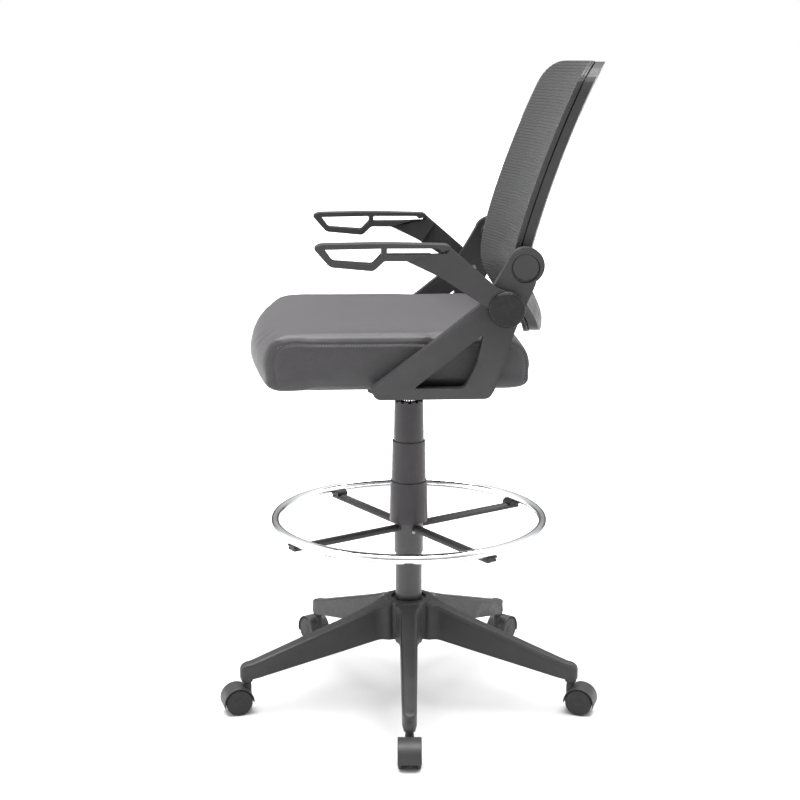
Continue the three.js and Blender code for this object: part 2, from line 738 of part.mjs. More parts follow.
// The lever's inner end lies over the cylinder's valve, and its paddle is under the seat.
function liftLever() {
  const inner = -MECHANISM_HALF_WIDTH + 20;
  const rod = sideways(disc(LEVER_Y, LEVER_Z, LEVER_RADIUS, SMALL_ROUND), -LEVER_REACH + 50, inner);
  const paddle = upright(outline([
    [-LEVER_REACH, LEVER_Y - 14, 10],
    [-LEVER_REACH + 60, LEVER_Y - 8, 8],
    [-LEVER_REACH + 60, LEVER_Y + 8, 8],
    [-LEVER_REACH, LEVER_Y + 14, 10],
  ]), LEVER_Z - 3.5, LEVER_Z + 3.5);
  return rod.add(paddle);
}

function tiltMechanism() {
  return [
    named("tilt_mechanism_housing", mechanismHousing(), COATED_STEEL),
    named("seat_plate", seatPlate(), COATED_STEEL),
    named("tilt_pin", tiltPin(), BARE_STEEL),
    named("tilt_tension_knob", tensionKnob(), BLACK_PLASTIC),
    named("height_lever", liftLever(), BLACK_PLASTIC),
  ];
}

// ---------------------------------------------------------------- seat

function boardPlan(margin) {
  const [side, front, back] = [SEAT_HALF_WIDTH - 21, SEAT_FRONT + 50, SEAT_BACK - 37];
  return outline([
    [-side - margin, front - margin, 50],
    [side + margin, front - margin, 50],
    [side + margin, back + margin, 45],
    [-side - margin, back + margin, 45],
  ]);
}

function seatBoard() {
  return upright(boardPlan(0), BOARD_BOTTOM, BOARD_BOTTOM + BOARD_THICK);
}

// The cushion wraps over the board: a bulging front, a level top and rounded sides.
function seatCushion() {
  const low = BOARD_BOTTOM;
  const side = sideways(outline([
    [SEAT_FRONT + 50, low],
    [SEAT_FRONT + 6, low + 6, 14],
    [SEAT_FRONT - 4, low + 46, 30],
    [SEAT_FRONT + 32, SEAT_TOP - 4, 26],
    [SEAT_FRONT + 150, SEAT_TOP + 2, 40],
    [SEAT_BACK - 30, SEAT_TOP - 4, 24],
    [SEAT_BACK + 3, low + 46, 40],
    [SEAT_BACK - 8, low, 16],
  ]), -SEAT_HALF_WIDTH, SEAT_HALF_WIDTH);
  const bevel = 12;
  const edge = SEAT_HALF_WIDTH - bevel;
  const plan = outline([
    [-edge, SEAT_FRONT + bevel - 6, SEAT_CORNER],
    [edge, SEAT_FRONT + bevel - 6, SEAT_CORNER],
    [edge, SEAT_BACK - bevel + 4, SEAT_CORNER],
    [-edge, SEAT_BACK - bevel + 4, SEAT_CORNER],
  ]);
  const pillow = new THREE.ExtrudeGeometry(plan, {
    depth: SEAT_TOP - low - bevel,
    bevelThickness: bevel,
    bevelSize: bevel,
    bevelSegments: 3,
    curveSegments: 6,
  }).translate(0, 0, low);
  const room = upright(boardPlan(GAP), low - 20, low + BOARD_THICK + GAP);
  return side.intersect(solidOf(pillow)).subtract(room);
}

// ---------------------------------------------------------------- brackets and arms

function bracket(side) {
  const plate = sideways(outline([
    [-82, 650, 5],
    [-72, FOOT_BOTTOM, 8],
    [118, FOOT_BOTTOM, 8],
    [127, 647, 4],
    [159, 745, 10],
    [178, 790, 10],
    [BOSS_Y + 18, BOSS_Z - 26, 8],
    [BOSS_Y - 10, BOSS_Z + 10],
    [BOSS_Y - 24, BOSS_Z + 17],
    [124, 823, 6],
    [104, 792, 10],
    [34, 736, 4],
  ]), side * BRACKET_INNER, side * BRACKET_OUTER);
  const [inner, outer] = [side * BRACKET_INNER, side * BRACKET_OUTER];
  const boss = sideways(disc(BOSS_Y, BOSS_Z, BOSS_RADIUS), inner, outer);
  const hub = sideways(disc(PIVOT_Y, PIVOT_Z, PIVOT_CAP_RADIUS - 2), inner, outer);
  const lug = sideways(disc(BOSS_Y, BOSS_Z, LUG_RADIUS), side * (BACK_HALF_WIDTH + 2), inner + side);
  const footInner = BRACKET_INNER - FOOT_REACH;
  const foot = upright(outline([
    [side * footInner, -60, 10],
    [side * (BRACKET_OUTER - 1), -66],
    [side * (BRACKET_OUTER - 1), 112],
    [side * footInner, 100, 10],
  ]), FOOT_BOTTOM, BOARD_BOTTOM - GAP);
  const window = sideways(outline([
    [104, 734, 10],
    [-10, 650.5, 8],
    [76, 649.5, 12],
    [98, 700, 6],
  ]), side * (BRACKET_INNER - 1), side * (BRACKET_OUTER + 1));
  const capSeat = sideways(disc(BOSS_Y, BOSS_Z, BOSS_CAP_RADIUS + GAP),
    side * (BRACKET_OUTER - BOSS_CAP_THICK), side * (BRACKET_OUTER + 1));
  const pinHole = sideways(disc(PIVOT_Y, PIVOT_Z, PIVOT_PIN_RADIUS + GAP, SMALL_ROUND),
    side * (BRACKET_INNER - 1), side * (BRACKET_OUTER + 1));
  return cut(joined([plate, boss, hub, lug, foot]), [window, capSeat, pinHole]);
}

function bossCap(side) {
  const start = BRACKET_OUTER - BOSS_CAP_THICK + GAP;
  return sideways(disc(BOSS_Y, BOSS_Z, BOSS_CAP_RADIUS), side * start, side * BRACKET_OUTER);
}

// The arm: a pad made as an open loop, a flat beam down to the pivot eye, and its two windows.
function arm(side) {
  const top = ARM_PAD_TOP;
  const padInner = ARM_OUTER + 1 - ARM_PAD_WIDTH;
  const pad = sideways(outline([
    [-174, top - 6, 4],
    [-163, top, 4],
    [-60, top + 1.5, 20],
    [46, top - 1.5, 4],
    [52, top - 8, 3],
    [-20, 866],
    [-58, 866.5, 2],
    [-76, 850, 4],
    [-147, 857, 5],
  ]), side * padInner, side * (ARM_OUTER + 1));
  const bar = ARM_BAR;
  const frontWindow = sideways(outline([
    [-157, top - bar - 1.5, 2],
    [-63, top - bar, 2],
    [-63, top - 17.5, 1],
    [-78, top - 33, 3],
    [-143, top - 28.5, 3],
  ]), side * (padInner - 1), side * (ARM_OUTER + 2));
  const slot = sideways(outline([
    [-54, top - bar, 2],
    [30, top - bar - 0.5],
    [41, top - 17.5],
    [-54, top - 17.5, 1],
  ]), side * (padInner - 1), side * (ARM_OUTER + 2));
  const beam = sideways(outline([
    [-22, 866],
    [34, 839],
    [PIVOT_Y - 30, PIVOT_Z + 2],
    [PIVOT_Y, PIVOT_Z - 20],
    [PIVOT_Y + 16, PIVOT_Z + 24],
    [128, 820],
    [50, top - 6, 4],
    [44, top - 16],
    [-18, top - 18],
  ]), side * ARM_INNER, side * ARM_OUTER);
  const eye = sideways(disc(PIVOT_Y, PIVOT_Z, PIVOT_CAP_RADIUS - 1), side * ARM_INNER, side * ARM_OUTER);
  const shoulder = sideways(outline([
    [-20, 867],
    [34, 839],
    [43, 834],
    [68, 871],
    [50, top - 8],
    [42, top - 17],
  ]), side * (padInner + 6), side * (ARM_INNER + 1));
  const hole = sideways(disc(PIVOT_Y, PIVOT_Z, PIVOT_PIN_RADIUS + RUNNING, SMALL_ROUND),
    side * (ARM_INNER - 1), side * (ARM_OUTER + 1));
  return cut(joined([pad, beam, eye, shoulder]), [frontWindow, slot, hole]);
}

function pivotPin(side) {
  const shape = disc(PIVOT_Y, PIVOT_Z, PIVOT_PIN_RADIUS, SMALL_ROUND);
  return sideways(shape, side * (BRACKET_INNER + 1), side * (ARM_OUTER - 0.5));
}

function pivotCap(side) {
  const start = ARM_OUTER + GAP;
  const rim = sideways(disc(PIVOT_Y, PIVOT_Z, PIVOT_CAP_RADIUS),
    side * start, side * (start + PIVOT_CAP_THICK - 1));
  const face = sideways(disc(PIVOT_Y, PIVOT_Z, PIVOT_CAP_RADIUS - 1.5),
    side * (start + 1), side * (start + PIVOT_CAP_THICK));
  return rim.add(face);
}

function sidePieces(side, word) {
  return [
    named(`side_bracket_${word}`, bracket(side), BLACK_PLASTIC),
    named(`back_boss_cap_${word}`, bossCap(side), BLACK_PLASTIC),
    named(`arm_pivot_pin_${word}`, pivotPin(side), BARE_STEEL),
    named(`arm_${word}`, arm(side), BLACK_PLASTIC),
    named(`arm_pivot_cap_${word}`, pivotCap(side), CAP_PLASTIC),
  ];
}

// ---------------------------------------------------------------- back

// How far back the front of the back lies, at a place on it.
function backSurface(x, z) {
  const rise = z - BACK_SEEN_FROM;
  const edge = BACK_EDGE_Y + BACK_SLOPE * rise + BACK_CURL * rise * rise;
  const tail = THREE.MathUtils.smoothstep(TAIL_FROM - z, 0, TAIL_FROM - TAIL_TO);
  const hollow = THREE.MathUtils.lerp(BACK_HOLLOW, TAIL_HOLLOW, tail);
  return edge + hollow * (1 - (x / BACK_HALF_WIDTH) ** 2);
}

// The back's outline, moved in by a margin, drawn in X and Z.
function backOutline(margin, bottom = BACK_BOTTOM + margin) {
  const side = BACK_HALF_WIDTH - margin;
  const top = BACK_TOP - margin;
  const tail = BACK_TAIL_HALF_WIDTH - margin;
  const half = [
    [tail, bottom, 20],
    [tail + 30, bottom + 30, 24],
    [side - 5, BOSS_Z - 32, 44],
    [side, BOSS_Z + 60, 30],
    [side - 6, top - 90, 40],
    [side - 12, top, Math.max(BACK_CORNER - margin, 8)],
  ];
  const mirrored = half.map(([x, z, rounding]) => [-x, z, rounding]).reverse();
  return outline([...half, ...mirrored]);
}

// A curved slab as large as the back. All its slabs share one grid, so their faces stay parallel.
function backSlab(front, thickness) {
  const height = BACK_TOP - BACK_BOTTOM;
  const slab = new THREE.BoxGeometry(2 * BACK_HALF_WIDTH + 2, thickness, height + 2, 12, 1, 20);
  slab.translate(0, front + thickness / 2, (BACK_TOP + BACK_BOTTOM) / 2);
  const points = slab.attributes.position;
  for (let i = 0; i < points.count; i++) {
    points.setY(i, points.getY(i) + backSurface(points.getX(i), points.getZ(i)));
  }
  return solidOf(slab);
}

function backRing(outer, inner, front, thickness) {
  const whole = lengthways(outer, -200, 600);
  const opening = lengthways(inner, -300, 700);
  return backSlab(front, thickness).intersect(whole).subtract(opening);
}

function meshCarrier() {
  return backRing(backOutline(0), backOutline(CARRIER_WIDTH), 0, CARRIER_THICK);
}

// The rear frame's foot is a broad shell behind the small of the sitter's back.
function backFrame() {
  const opening = backOutline(FRAME_WIDTH, BACK_BOTTOM + FRAME_FOOT);
  return backRing(backOutline(2), opening, FRAME_FRONT, FRAME_THICK);
}

function backMesh() {
  const opening = lengthways(backOutline(CARRIER_WIDTH + GAP), -200, 600);
  return backSlab(2, MESH_THICK).intersect(opening);
}

function backPieces() {
  return [
    named("back_frame", backFrame(), BLACK_PLASTIC),
    named("back_mesh_carrier", meshCarrier(), BLACK_PLASTIC),
    named("back_mesh", backMesh(), MESH_FABRIC),
  ];
}

// ---------------------------------------------------------------- the chair

const chair = new THREE.Group();
chair.position.set(COLUMN_X, COLUMN_Y, 0);
chair.add(baseStar());
for (let number = 1; number <= LEGS; number++) {
  chair.add(caster(number));
}
chair.add(...liftColumn());
chair.add(...footRing());

// What stands on the gas cylinder rises with its top.
const seating = new THREE.Group();
seating.position.z = CYLINDER_TOP - SOCKET_TOP;
seating.add(...tiltMechanism());
seating.add(
  named("seat_board", seatBoard(), PLYWOOD),
  named("seat_cushion", seatCushion(), LEATHERETTE),
);
seating.add(...sidePieces(1, "left"), ...sidePieces(-1, "right"));
seating.add(...backPieces());
chair.add(seating);

export default chair;
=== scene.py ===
import json
import math

import bpy
import mathutils.kdtree
from mathutils import Matrix, Vector


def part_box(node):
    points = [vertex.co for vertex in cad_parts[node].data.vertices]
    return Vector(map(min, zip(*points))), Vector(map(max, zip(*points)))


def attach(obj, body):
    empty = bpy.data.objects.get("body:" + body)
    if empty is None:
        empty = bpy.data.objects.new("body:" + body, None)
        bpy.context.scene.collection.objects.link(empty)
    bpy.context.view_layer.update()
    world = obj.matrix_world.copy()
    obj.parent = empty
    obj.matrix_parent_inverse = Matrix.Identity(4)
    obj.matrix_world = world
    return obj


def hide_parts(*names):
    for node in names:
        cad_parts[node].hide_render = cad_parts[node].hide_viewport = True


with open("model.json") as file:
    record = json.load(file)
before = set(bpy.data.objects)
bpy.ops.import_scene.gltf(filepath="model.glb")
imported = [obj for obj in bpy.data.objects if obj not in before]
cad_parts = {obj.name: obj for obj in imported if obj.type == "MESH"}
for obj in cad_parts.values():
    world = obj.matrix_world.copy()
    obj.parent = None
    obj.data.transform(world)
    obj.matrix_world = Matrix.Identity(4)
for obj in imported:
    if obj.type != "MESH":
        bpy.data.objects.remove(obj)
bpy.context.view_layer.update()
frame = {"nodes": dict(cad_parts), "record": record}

# ------------------------------------------------------------------ sizes
# Pieces are drawn in millimetres about the lift column, the sitter facing -Y,
# and are brought into the frame, in metres, when they are finished.

MM = 0.001
tube_low, tube_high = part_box("gas_lift_tube")
COLUMN = Vector(((tube_low.x + tube_high.x) / 2, (tube_low.y + tube_high.y) / 2, 0))
INTO_FRAME = Matrix.Translation(COLUMN) @ Matrix.Scale(MM, 4)


def extent(node):
    """The lowest and highest corners of a CAD node, in millimetres about the lift column."""
    low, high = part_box(node)
    return (low - COLUMN) / MM, (high - COLUMN) / MM


def middle(node):
    low, high = extent(node)
    return (low + high) / 2


BASE_TURN = -3.3  # degrees from +X to the first leg
LEGS = 5
HUB = extent("base_star")
HUB_RADIUS = 48
LEG_REACH = (middle("caster_stem_1")).xy.length
LEG_TIP_BOTTOM = 59
WHEEL_RADIUS = 25
CASTER_TRAIL = 19
TUBE = extent("gas_lift_tube")
TUBE_RADIUS = (TUBE[1].x - TUBE[0].x) / 2
RING = extent("foot_ring_tube")
RING_TUBE = (RING[1].z - RING[0].z) / 2
RING_HEIGHT = (RING[1].z + RING[0].z) / 2
RING_RADIUS = (RING[1].x - RING[0].x) / 2 - RING_TUBE
SPOKE_TURN = 31
CUSHION = extent("seat_cushion")
PIVOT = middle("arm_pivot_cap_left")
BOSS = middle("back_boss_cap_left")
ARM = extent("arm_left")
BACK = extent("back_mesh_carrier")

# ------------------------------------------------------------------ modelling


def alone(piece):
    """Selects one piece and nothing else."""
    bpy.ops.object.select_all(action="DESELECT")
    piece.select_set(True)
    bpy.context.view_layer.objects.active = piece


def rounded(corners, steps=5):
    """Points along an outline whose corners are (x, y) or (x, y, rounding)."""
    points = []
    count = len(corners)
    for i, corner in enumerate(corners):
        here = Vector(corner[:2])
        rounding = corner[2] if len(corner) > 2 else 0
        if rounding == 0:
            points.append(here)
            continue
        back = Vector(corners[i - 1][:2]) - here
        ahead = Vector(corners[(i + 1) % count][:2]) - here
        start = here + back.normalized() * min(rounding, back.length * 0.49)
        end = here + ahead.normalized() * min(rounding, ahead.length * 0.49)
        for step in range(steps + 1):
            t = step / steps
            points.append(start.lerp(here, t).lerp(here.lerp(end, t), t))
    return points


def circle(x, y, radius, steps=48):
    """Points round a circle, drawn in two directions."""
    turns = [2 * math.pi * i / steps for i in range(steps)]
    return [Vector((x + radius * math.cos(a), y + radius * math.sin(a))) for a in turns]


def side_on(points, x):
    """Points drawn in Y and Z, stood at an X."""
    return [Vector((x, p.x, p.y)) for p in points]


def front_on(points, y):
    """Points drawn in X and Z, stood at a Y."""
    return [Vector((p.x, y, p.y)) for p in points]


def plan(points, z):
    """Points drawn in X and Y, laid at a height."""
    return [Vector((p.x, p.y, z)) for p in points]


def drawn(name, points):
    """Draws a line of points by extruding a single one, and stays in edit mode."""
    bpy.ops.object.select_all(action="DESELECT")
    bpy.ops.mesh.primitive_plane_add(size=1)
    piece = bpy.context.object
    piece.name = name
    bpy.ops.object.mode_set(mode="EDIT")
    bpy.ops.mesh.select_all(action="SELECT")
    bpy.ops.mesh.merge(type="CENTER")
    bpy.ops.transform.translate(value=points[0])
    for here, there in zip(points, points[1:]):
        bpy.ops.mesh.extrude_region_move(TRANSFORM_OT_translate={"value": there - here})
    bpy.ops.mesh.select_all(action="SELECT")
    return piece


def closed_up(piece):
    """Merges doubles, turns the faces outwards and leaves edit mode."""
    bpy.ops.mesh.select_all(action="SELECT")
    bpy.ops.mesh.remove_doubles(threshold=0.01)
    bpy.ops.mesh.normals_make_consistent(inside=False)
    bpy.ops.object.mode_set(mode="OBJECT")
    return piece


def prism(name, points, depth):
    """An outline filled and extruded."""
    piece = drawn(name, points)
    bpy.ops.mesh.edge_face_add()
    bpy.ops.mesh.select_all(action="SELECT")
    bpy.ops.mesh.extrude_region_move(TRANSFORM_OT_translate={"value": depth})
    return closed_up(piece)


def slab(name, points, x_from, x_to):
    """An outline drawn in Y and Z, extruded between two X positions."""
    return prism(name, side_on(points, x_from), Vector((x_to - x_from, 0, 0)))


def turned(name, profile, steps=64, place=None):
    """A profile of (radius, height) spun round the Z axis, then put in its place."""
    points = [Vector((radius, 0, height)) for radius, height in profile]
    if profile[0][0] > 0:
        points.append(points[0])
    piece = drawn(name, points)
    bpy.ops.mesh.spin(steps=steps, angle=2 * math.pi, center=(0, 0, 0), axis=(0, 0, 1))
    closed_up(piece)
    if place is not None:
        piece.data.transform(place)
    return piece


def modified(piece, kind, **settings):
    """Adds a modifier with its settings and applies it."""
    alone(piece)
    modifier = piece.modifiers.new(kind.lower(), kind)
    for name, value in settings.items():
        setattr(modifier, name, value)
    bpy.ops.object.modifier_apply(modifier=modifier.name)
    return piece


def combined(piece, operation, *others):
    for other in others:
        modified(piece, "BOOLEAN", operation=operation, object=other, solver="EXACT")
        bpy.data.objects.remove(other)
    return piece


def welded(piece, *others):
    return combined(piece, "UNION", *others)


def carved(piece, *others):
    return combined(piece, "DIFFERENCE", *others)


def joined(piece, *others):
    """Puts separate shells in one piece, as they are."""
    alone(piece)
    for other in others:
        other.select_set(True)
    bpy.ops.object.join()
    return piece


def copied(piece, matrix=None):
    """A copy with its own mesh, moved by a matrix."""
    copy = piece.copy()
    copy.data = piece.data.copy()
    bpy.context.collection.objects.link(copy)
    if matrix is not None:
        copy.data.transform(matrix)
    return copy


def chamfered(piece, width, test, segments=1):
    """Bevels the edges whose two ends both pass a test of their place."""
    alone(piece)
    bpy.ops.object.mode_set(mode="EDIT")
    bpy.ops.mesh.select_mode(type="EDGE")
    bpy.ops.mesh.select_all(action="DESELECT")
    bpy.ops.object.mode_set(mode="OBJECT")
    for edge in piece.data.edges:
        edge.select = all(test(piece.data.vertices[i].co) for i in edge.vertices)
    bpy.ops.object.mode_set(mode="EDIT")
    bpy.ops.mesh.bevel(offset=width, segments=segments, clamp_overlap=True)
    bpy.ops.mesh.select_mode(type="VERT")
    return closed_up(piece)


def eased(piece, width, segments=3, sharp=32):
    """Rounds every edge that is sharper than an angle."""
    return modified(
        piece,
        "BEVEL",
        width=width,
        segments=segments,
        limit_method="ANGLE",
        angle_limit=math.radians(sharp),
        use_clamp_overlap=True,
    )


def finished(piece, slot, body, *nodes, smooth=40):
    """Shades a piece, brings it into the frame, gives it its finish and its body, and hides the CAD nodes it
    stands in for.
    """
    alone(piece)
    bpy.ops.object.shade_smooth_by_angle(angle=math.radians(smooth))
    modified(piece, "WEIGHTED_NORMAL", keep_sharp=True)
    piece.data.transform(INTO_FRAME)
    piece.data.materials.clear()
    piece.data.materials.append(FINISHES[slot])
    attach(piece, body)
    if nodes:
        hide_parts(*nodes)
    return piece


def refined(node, slot, body, edge):
    """A copy of a CAD node with its loose triangles merged and its edges eased."""
    piece = copied(frame["nodes"][node], INTO_FRAME.inverted())
    piece.parent = None
    for key in list(piece.keys()):
        del piece[key]
    piece.name = node + "_moulded"
    alone(piece)
    bpy.ops.object.mode_set(mode="EDIT")
    bpy.ops.mesh.select_all(action="SELECT")
    bpy.ops.mesh.remove_doubles(threshold=0.01)
    bpy.ops.mesh.dissolve_limited(angle_limit=math.radians(2))
    closed_up(piece)
    eased(piece, edge, segments=2, sharp=30)
    return finished(piece, slot, body, node)


# ------------------------------------------------------------------ materials


def linear(colour):
    """An sRGB hex colour, such as 0x8a8a8a, as Blender's linear RGBA."""
    channels = [(colour >> shift & 255) / 255 for shift in (16, 8, 0)]
    curve = [c / 12.92 if c <= 0.04045 else ((c + 0.055) / 1.055) ** 2.4 for c in channels]
    return (*curve, 1)


def node(tree, kind, sockets=None, **settings):
    """Adds a node with its settings, and sets or links its sockets."""
    added = tree.nodes.new(kind)
    for name, value in settings.items():
        setattr(added, name, value)
    for name, value in (sockets or {}).items():
        if isinstance(value, bpy.types.NodeSocket):
            tree.links.new(value, added.inputs[name])
        else:
            added.inputs[name].default_value = value
    return added


def blank(name):
    """A new material's tree, its shader and the place on the piece, in metres."""
    material = bpy.data.materials.new(name)
    material.use_nodes = True
    tree = material.node_tree
    shader = tree.nodes["Principled BSDF"]
    place = node(tree, "ShaderNodeTexCoord").outputs["Object"]
    return material, tree, shader, place


def noise(tree, place, size, detail=2.0, rough=0.5):
    """Soft random spots about as large as a size in millimetres."""
    sockets = {"Vector": place, "Scale": 1 / (size * MM), "Detail": detail, "Roughness": rough}
    return node(tree, "ShaderNodeTexNoise", sockets).outputs["Fac"]


def spread(tree, value, low, high, to_low, to_high):
    """A value carried from one range to another."""
    sockets = {"Value": value, "From Min": low, "From Max": high, "To Min": to_low, "To Max": to_high}
    return node(tree, "ShaderNodeMapRange", sockets).outputs["Result"]


def mixed(tree, factor, first, second, blend_type="MIX"):
    """Two colours mixed by a factor."""
    mix = node(tree, "ShaderNodeMix", data_type="RGBA", blend_type=blend_type)
    for socket, value in ((mix.inputs[0], factor), (mix.inputs[6], first), (mix.inputs[7], second)):
        if isinstance(value, bpy.types.NodeSocket):
            tree.links.new(value, socket)
        else:
            socket.default_value = value
    return mix.outputs[2]


def bumped(tree, shader, height, strength, depth):
    """Raises a surface by a height map, whose full range is a depth in millimetres."""
    sockets = {"Height": height, "Strength": strength, "Distance": depth * MM}
    tree.links.new(node(tree, "ShaderNodeBump", sockets).outputs[0], shader.inputs["Normal"])


def moulded(name, colour, grain, relief, roughness):
    """Injection-moulded plastic with a spark-eroded grain, a size in millimetres, faint scuffs in its
    roughness, and a painted highlight along its convex edges.
    """
    material, tree, shader, place = blank(name)
    dark = linear(colour)
    light = tuple(min(1, channel * 1.22) for channel in dark[:3]) + (1,)
    shade = spread(tree, noise(tree, place, 46), 0.35, 0.65, 0, 0.6)
    base = mixed(tree, shade, dark, light)
    # Painted highlight: convex edges, found by pointiness, are painted lighter where light would catch them.
    pointed = node(tree, "ShaderNodeNewGeometry").outputs["Pointiness"]
    edge_highlight_mask = spread(tree, pointed, 0.52, 0.6, 0, 0.35)
    edge_highlight_colour = tuple(min(1, channel * 1.9) for channel in dark[:3]) + (1,)
    shader.inputs["IOR"].default_value = 1.5
    shader.inputs["Specular IOR Level"].default_value = 0.3
    tree.links.new(mixed(tree, edge_highlight_mask, base, edge_highlight_colour), shader.inputs["Base Color"])
    scuff = spread(tree, noise(tree, place, 9, 5, 0.65), 0.4, 0.68, -0.05, 0.1)
    rough = node(tree, "ShaderNodeMath", {0: scuff, 1: roughness}, operation="ADD").outputs[0]
    tree.links.new(rough, shader.inputs["Roughness"])
    eroded = noise(tree, place, grain, 3, 0.6)
    bumped(tree, shader, eroded, 0.35, relief)
    return material


def powder_coat():
    """Powder-coated steel: a thick satin coat whose orange peel breaks up the highlights."""
    material, tree, shader, place = blank("powder_coated_steel")
    shade = spread(tree, noise(tree, place, 60), 0.3, 0.7, 0, 1)
    tree.links.new(mixed(tree, shade, linear(0x262526), linear(0x2F2E2F)), shader.inputs["Base Color"])
    shader.inputs["IOR"].default_value = 1.5
    shader.inputs["Coat Weight"].default_value = 0.15
    rough = spread(tree, noise(tree, place, 7, 4), 0.3, 0.7, 0.34, 0.46)
    tree.links.new(rough, shader.inputs["Roughness"])
    peel = noise(tree, place, 1.6, 1)
    bumped(tree, shader, peel, 0.4, 0.05)
    return material


def chrome():
    """Bright chromium plate on polished steel tube: a mirror with faint polishing marks and smears."""
    material, tree, shader, place = blank("chromium_plate")
    shade = spread(tree, noise(tree, place, 30), 0.3, 0.7, 0, 1)
    tree.links.new(mixed(tree, shade, linear(0xF1F1F2), linear(0xE6E7EA)), shader.inputs["Base Color"])
    shader.inputs["Metallic"].default_value = 1
    smears = spread(tree, noise(tree, place, 12, 6, 0.7), 0.35, 0.75, 0.03, 0.1)
    tree.links.new(smears, shader.inputs["Roughness"])
    bumped(tree, shader, noise(tree, place, 0.5, 2), 0.05, 0.01)
    return material


def zinc():
    """Zinc-plated steel: a pale grey metal, clouded by its passivation."""
    material, tree, shader, place = blank("zinc_plated_steel")
    clouds = spread(tree, noise(tree, place, 5, 4, 0.6), 0.35, 0.65, 0, 1)
    tree.links.new(mixed(tree, clouds, linear(0x8E8F92), linear(0xB4B3AE)), shader.inputs["Base Color"])
    shader.inputs["Metallic"].default_value = 1
    tree.links.new(spread(tree, clouds, 0, 1, 0.28, 0.42), shader.inputs["Roughness"])
    bumped(tree, shader, noise(tree, place, 0.8, 3), 0.2, 0.02)
    return material


def plywood():
    """Rotary-cut birch plywood, oiled: long grain bands and dark pore lines along the board."""
    material, tree, shader, place = blank("birch_plywood")
    stretched = node(tree, "ShaderNodeMapping", {"Vector": place, "Scale": (1, 0.12, 1)}).outputs[0]
    bands = spread(tree, noise(tree, stretched, 9, 4), 0.35, 0.65, 0, 1)
    pores = spread(tree, noise(tree, stretched, 1.1, 2), 0.62, 0.72, 0, 0.5)
    wood = mixed(tree, bands, linear(0x9C7B50), linear(0xB6966A))
    tree.links.new(mixed(tree, pores, wood, linear(0x6A4D2E)), shader.inputs["Base Color"])
    tree.links.new(spread(tree, bands, 0, 1, 0.55, 0.7), shader.inputs["Roughness"])
    bumped(tree, shader, bands, 0.3, 0.1)
    return material


def leatherette(name="embossed_leatherette"):
    """PVC leatherette, embossed: pebbles about a millimetre across under a low sheen, with soft creases.
    The pebbles are drawn at 1.6 mm, a little coarser than life, so that they show."""
    material, tree, shader, place = blank(name)
    wander = node(tree, "ShaderNodeTexNoise", {"Vector": place, "Scale": 1 / (4 * MM), "Detail": 1.0})
    shifted = node(tree, "ShaderNodeVectorMath", operation="MULTIPLY_ADD")
    tree.links.new(wander.outputs["Color"], shifted.inputs[0])
    shifted.inputs[1].default_value = (0.5 * MM,) * 3
    tree.links.new(place, shifted.inputs[2])
    cells = {"Vector": shifted.outputs[0], "Scale": 1 / (1.6 * MM)}
    pebbles = node(tree, "ShaderNodeTexVoronoi", cells, feature="DISTANCE_TO_EDGE").outputs["Distance"]
    domes = spread(tree, pebbles, 0, 0.28, 0, 1)
    creases = noise(tree, place, 22, 4, 0.55)
    # Painted shade: the hollows of the soft creases are painted a little darker.
    shade = spread(tree, creases, 0.35, 0.65, 0, 1)
    body = mixed(tree, shade, linear(0x2D2B2D), linear(0x333133))
    # Painted shade: the valleys between the pebbles are painted darker still.
    tree.links.new(mixed(tree, domes, linear(0x242224), body), shader.inputs["Base Color"])
    shader.inputs["IOR"].default_value = 1.5
    shader.inputs["Sheen Weight"].default_value = 0.08
    tree.links.new(spread(tree, domes, 0, 1, 0.6, 0.46), shader.inputs["Roughness"])
    soft = {"Height": creases, "Strength": 0.25, "Distance": 1.2 * MM}
    waved = node(tree, "ShaderNodeBump", soft).outputs[0]
    sockets = {"Height": domes, "Strength": 0.5, "Distance": 0.12 * MM, "Normal": waved}
    tree.links.new(node(tree, "ShaderNodeBump", sockets).outputs[0], shader.inputs["Normal"])
    return material


def thread():
    """Bonded polyester sewing thread: a dark satin twist with a fine lay."""
    material, tree, shader, place = blank("polyester_thread")
    lay = noise(tree, place, 0.5, 1)
    tree.links.new(mixed(tree, lay, linear(0x3A393B), linear(0x8B8A8C)), shader.inputs["Base Color"])
    tree.links.new(spread(tree, lay, 0.3, 0.7, 0.4, 0.55), shader.inputs["Roughness"])
    return material


# The mesh back is knitted in ribs across the back; the map's V counts millimetres up it and U across.
RIB_PITCH = 5.6
THREAD_PITCH = 2.4
STRETCH_WIDTH = 430
STRETCH_HEIGHT = 520


